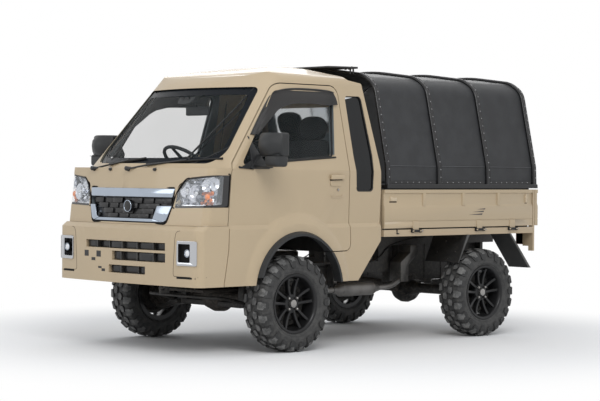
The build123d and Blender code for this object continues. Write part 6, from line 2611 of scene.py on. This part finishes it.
@dataclass
class Panels:
    """Painted panels of the truck, with the side's relief and their linings; the roof's dark inside is a
    painted shade and the pale rear glass paints the light seen through it.
    """

    nodes: dict[str, bpy.types.Object]
    centre: Point = (0.0, 0.10, 1.30)
    levels: Sequence[float] = (0.808, 0.812, 0.838, 0.843, 1.165, 1.171)
    sectors: int = 26

    def slice(self, mould: Mould, place: Point, normal: Point, faces: Optional[Sequence] = None) -> None:
        """Cut the mesh, or some of its faces, along a plane.

        Args:
            mould: the mesh.
            place: a point on the plane.
            normal: the plane's normal.
            faces: the faces to cut, all of them when left out.
        """
        faces = mould.bm.faces[:] if faces is None else faces
        edges = {e for f in faces for e in f.edges}
        verts = {v for f in faces for v in f.verts}
        geom = [*verts, *edges, *faces]
        bmesh.ops.bisect_plane(mould.bm, geom=geom, plane_co=place, plane_no=normal)

    def crest(self, mould: Mould) -> None:
        """Cut rings round the wheel arch, so that its crest can stand out."""
        centre = Vector((0.0, at(CREST[0][1]), CREST[0][2]))

        def spoke(share: float) -> Vector:
            """Direction out of the arch's middle."""
            angle = math.radians(-12.0 + 204.0 * share / self.sectors)
            return Vector((0.0, math.cos(angle), math.sin(angle)))

        def outer() -> list[bmesh.types.BMFace]:
            """Faces of the body side near the arch."""
            found = []
            for face in mould.bm.faces:
                if any(abs(v.co.x) > 0.70 for v in face.verts) and any(
                    (v.co - centre - Vector((v.co.x, 0, 0))).length < 0.75 for v in face.verts
                ):
                    found.append(face)
            return found

        for step in range(self.sectors + 1):
            out = spoke(step)
            side = Vector((0.0, -out.z, out.y))
            near = [f for f in outer() if (f.calc_center_median() - centre).dot(out) > -0.3]
            self.slice(mould, centre, side, near)
        half = math.radians(102.0 / self.sectors)
        for step in range(self.sectors):
            out = spoke(step + 0.5)
            for radius in (CREST[1] - 0.003, CREST[1] + 0.002, CREST[2] - 0.002, CREST[2] + 0.003):
                wedge = []
                for face in outer():
                    arm = face.calc_center_median() - centre
                    arm.x = 0.0
                    if arm.length > 1e-6 and arm.angle(out) < half:
                        wedge.append(face)
                self.slice(mould, centre + out * radius * math.cos(half * 0.6), out, wedge)

    def panel(
        self,
        name: str,
        finish: AnyFinish,
        second: Optional[AnyFinish] = None,
        test: Optional[Callable[[bmesh.types.BMFace], bool]] = None,
        shaped: bool = False,
        bow: Optional[Bow] = None,
    ) -> None:
        """A soft-edged copy of one panel.

        Args:
            name: the node.
            finish: its finish.
            second: the finish of the faces that pass the test.
            test: which faces take the second finish.
            shaped: whether the side's relief crosses it.
            bow: the surface that its front faces follow.
        """
        node = self.nodes[name]
        mould = Mould().welded(node, 0.05)
        bmesh.ops.triangulate(mould.bm, faces=[f for f in mould.bm.faces if len(f.verts) > 8])
        if bow:
            for step in range(1, 50):
                self.slice(mould, (-0.75 + 0.03 * step, 0, 0), (1, 0, 0))
            mould.warp(bow.snap).dissolved(0.08)
        if shaped:
            for level in self.levels:
                self.slice(mould, (0, 0, level), (0, 0, 1))
            self.crest(mould)
            mould.warp(relief)
        if second:
            mould.bm.normal_update()
            mould.paint(1, test)
        finishes = [finish, second] if second else [finish]
        piece = mould.piece(f"{name}_panel", node["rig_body"], *finishes, angle=32.0, stands_for=[name])
        edged(piece, 0.0022, 32.0, True)

    def inner(self, face: bmesh.types.BMFace) -> bool:
        """Whether a face looks into the cab."""
        middle = Vector((self.centre[0], at(self.centre[1]), self.centre[2]))
        spot = face.calc_center_median()
        return spot.z > 0.56 and face.normal.dot((middle - spot).normalized()) > 0.35

    def strap(self, face: bmesh.types.BMFace) -> bool:
        """Whether a face belongs to a gate's hinge strap."""
        spot = face.calc_center_median()
        return spot.z < 0.7955 and min(abs(spot.y - at(y)) for y in GATE_HINGES) < 0.06

    def build(self) -> None:
        """Make every painted panel."""
        self.panel("front_bumper", KHAKI, bow=BUMPER)
        self.panel("nose_panel", KHAKI, LINING, self.inner, True, NOSE)
        # The roof's inside takes a darkened khaki, a painted shade.
        self.panel("roof", KHAKI, ROOF_INSIDE_PAINTED_SHADE, self.inner)
        for name in ("door_left_shell", "door_right_shell"):
            self.panel(name, KHAKI, LINING, self.inner, True)
        self.panel("cab_sides", KHAKI, shaped=True)
        for name in ("cab_back", "headboard", "tailgate"):
            self.panel(name, KHAKI)
        for name in ("gate_left", "gate_right"):
            self.panel(name, KHAKI, SEAL, self.strap)
        self.panel("bed_floor", BED_KHAKI)
        # The rear glass takes a pale mirror finish that paints the bright light seen through it.
        self.panel("cab_windows", DARK_GLASS, REAR_GLASS_PAINTED_LIGHT, lambda f: abs(f.calc_center_median().x) < 0.62)


class Truck:
    """The whole truck around its frame."""

    def __init__(self) -> None:
        """Load the frame."""
        self.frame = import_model()
        self.nodes: dict[str, bpy.types.Object] = self.frame["nodes"]
        self.cad_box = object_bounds()

    def dress_nodes(self) -> None:
        """Give every CAD node its finish."""
        finishes = {
            "windscreen": SCREEN_GLASS, "door_left_glass": SCREEN_GLASS, "door_right_glass": SCREEN_GLASS,
            "cab_windows": DARK_GLASS, "mirror_left": PLASTIC, "mirror_right": PLASTIC,
            "grille": DEEP_BLACK, "grille_trim": CHROME, "headlamps": REFLECTOR, "fog_lamps": CHROME,
            "sill_flares": PLASTIC, "door_left_flare": PLASTIC, "door_right_flare": PLASTIC,
            "dashboard": DASH, "steering_wheel": DASH, "seats": SEAT_CLOTH, "cab_floor": FRAME_BLACK,
            "frame_rails": FRAME_BLACK, "cross_members": FRAME_BLACK, "engine_block": IRON,
            "front_suspension": FRAME_BLACK, "knuckle_left": IRON, "knuckle_right": IRON,
            "rear_axle": FRAME_BLACK, "rear_springs": FRAME_BLACK, "silencer_and_tank": STEEL,
            "tail_lamps": RED_LENS, "mudguards": MUDGUARD, "canopy_hoops": CANOPY_BLACK,
            "canopy_base": CANOPY_BLACK, "canopy_skin": CANVAS, "over_cab_plate": SATIN_BLACK
        }
        for name, node in self.nodes.items():
            dress(node, finishes.get(name, KHAKI))

    def build_wheels(self) -> None:
        """Make the four wheels."""
        for end, y in (("front", 0.0), ("rear", WHEELBASE)):
            for side in SIDES:
                Wheel(f"{end}_{SIDE_NAME[side]}", side, y).build()
                LOG.info("wheel %s %s", end, SIDE_NAME[side])

    def build_body(self) -> None:
        """Make the cab, the bed and what hangs under them."""
        sides = ("door_left_shell", "door_left_glass", "roof", "cab_sides")
        flank = Skin([self.nodes[name] for name in sides], (-1, 0, 0))
        face = Skin([self.nodes[name] for name in ("nose_panel", "roof", "windscreen")], (0, 1, 0))
        Panels(self.nodes).build()
        Grille(NOSE).build()
        for side in SIDES:
            Headlamp(NOSE, side).build()
            Door(self.nodes, flank, side).build()
        Bumper(BUMPER).build()
        Wipers(face).build()
        Glasshouse(self.nodes, flank).build()
        Cabin().build()
        Canopy(self.nodes).build()
        Bed().build()
        Underside().build()


def main() -> None:
    """Build the truck's looks and the studio."""
    logging.basicConfig(level=logging.INFO)
    truck = Truck()
    studio = Studio()
    studio.build()
    truck.dress_nodes()
    truck.build_wheels()
    truck.build_body()


if __name__ == "__main__":
    main()
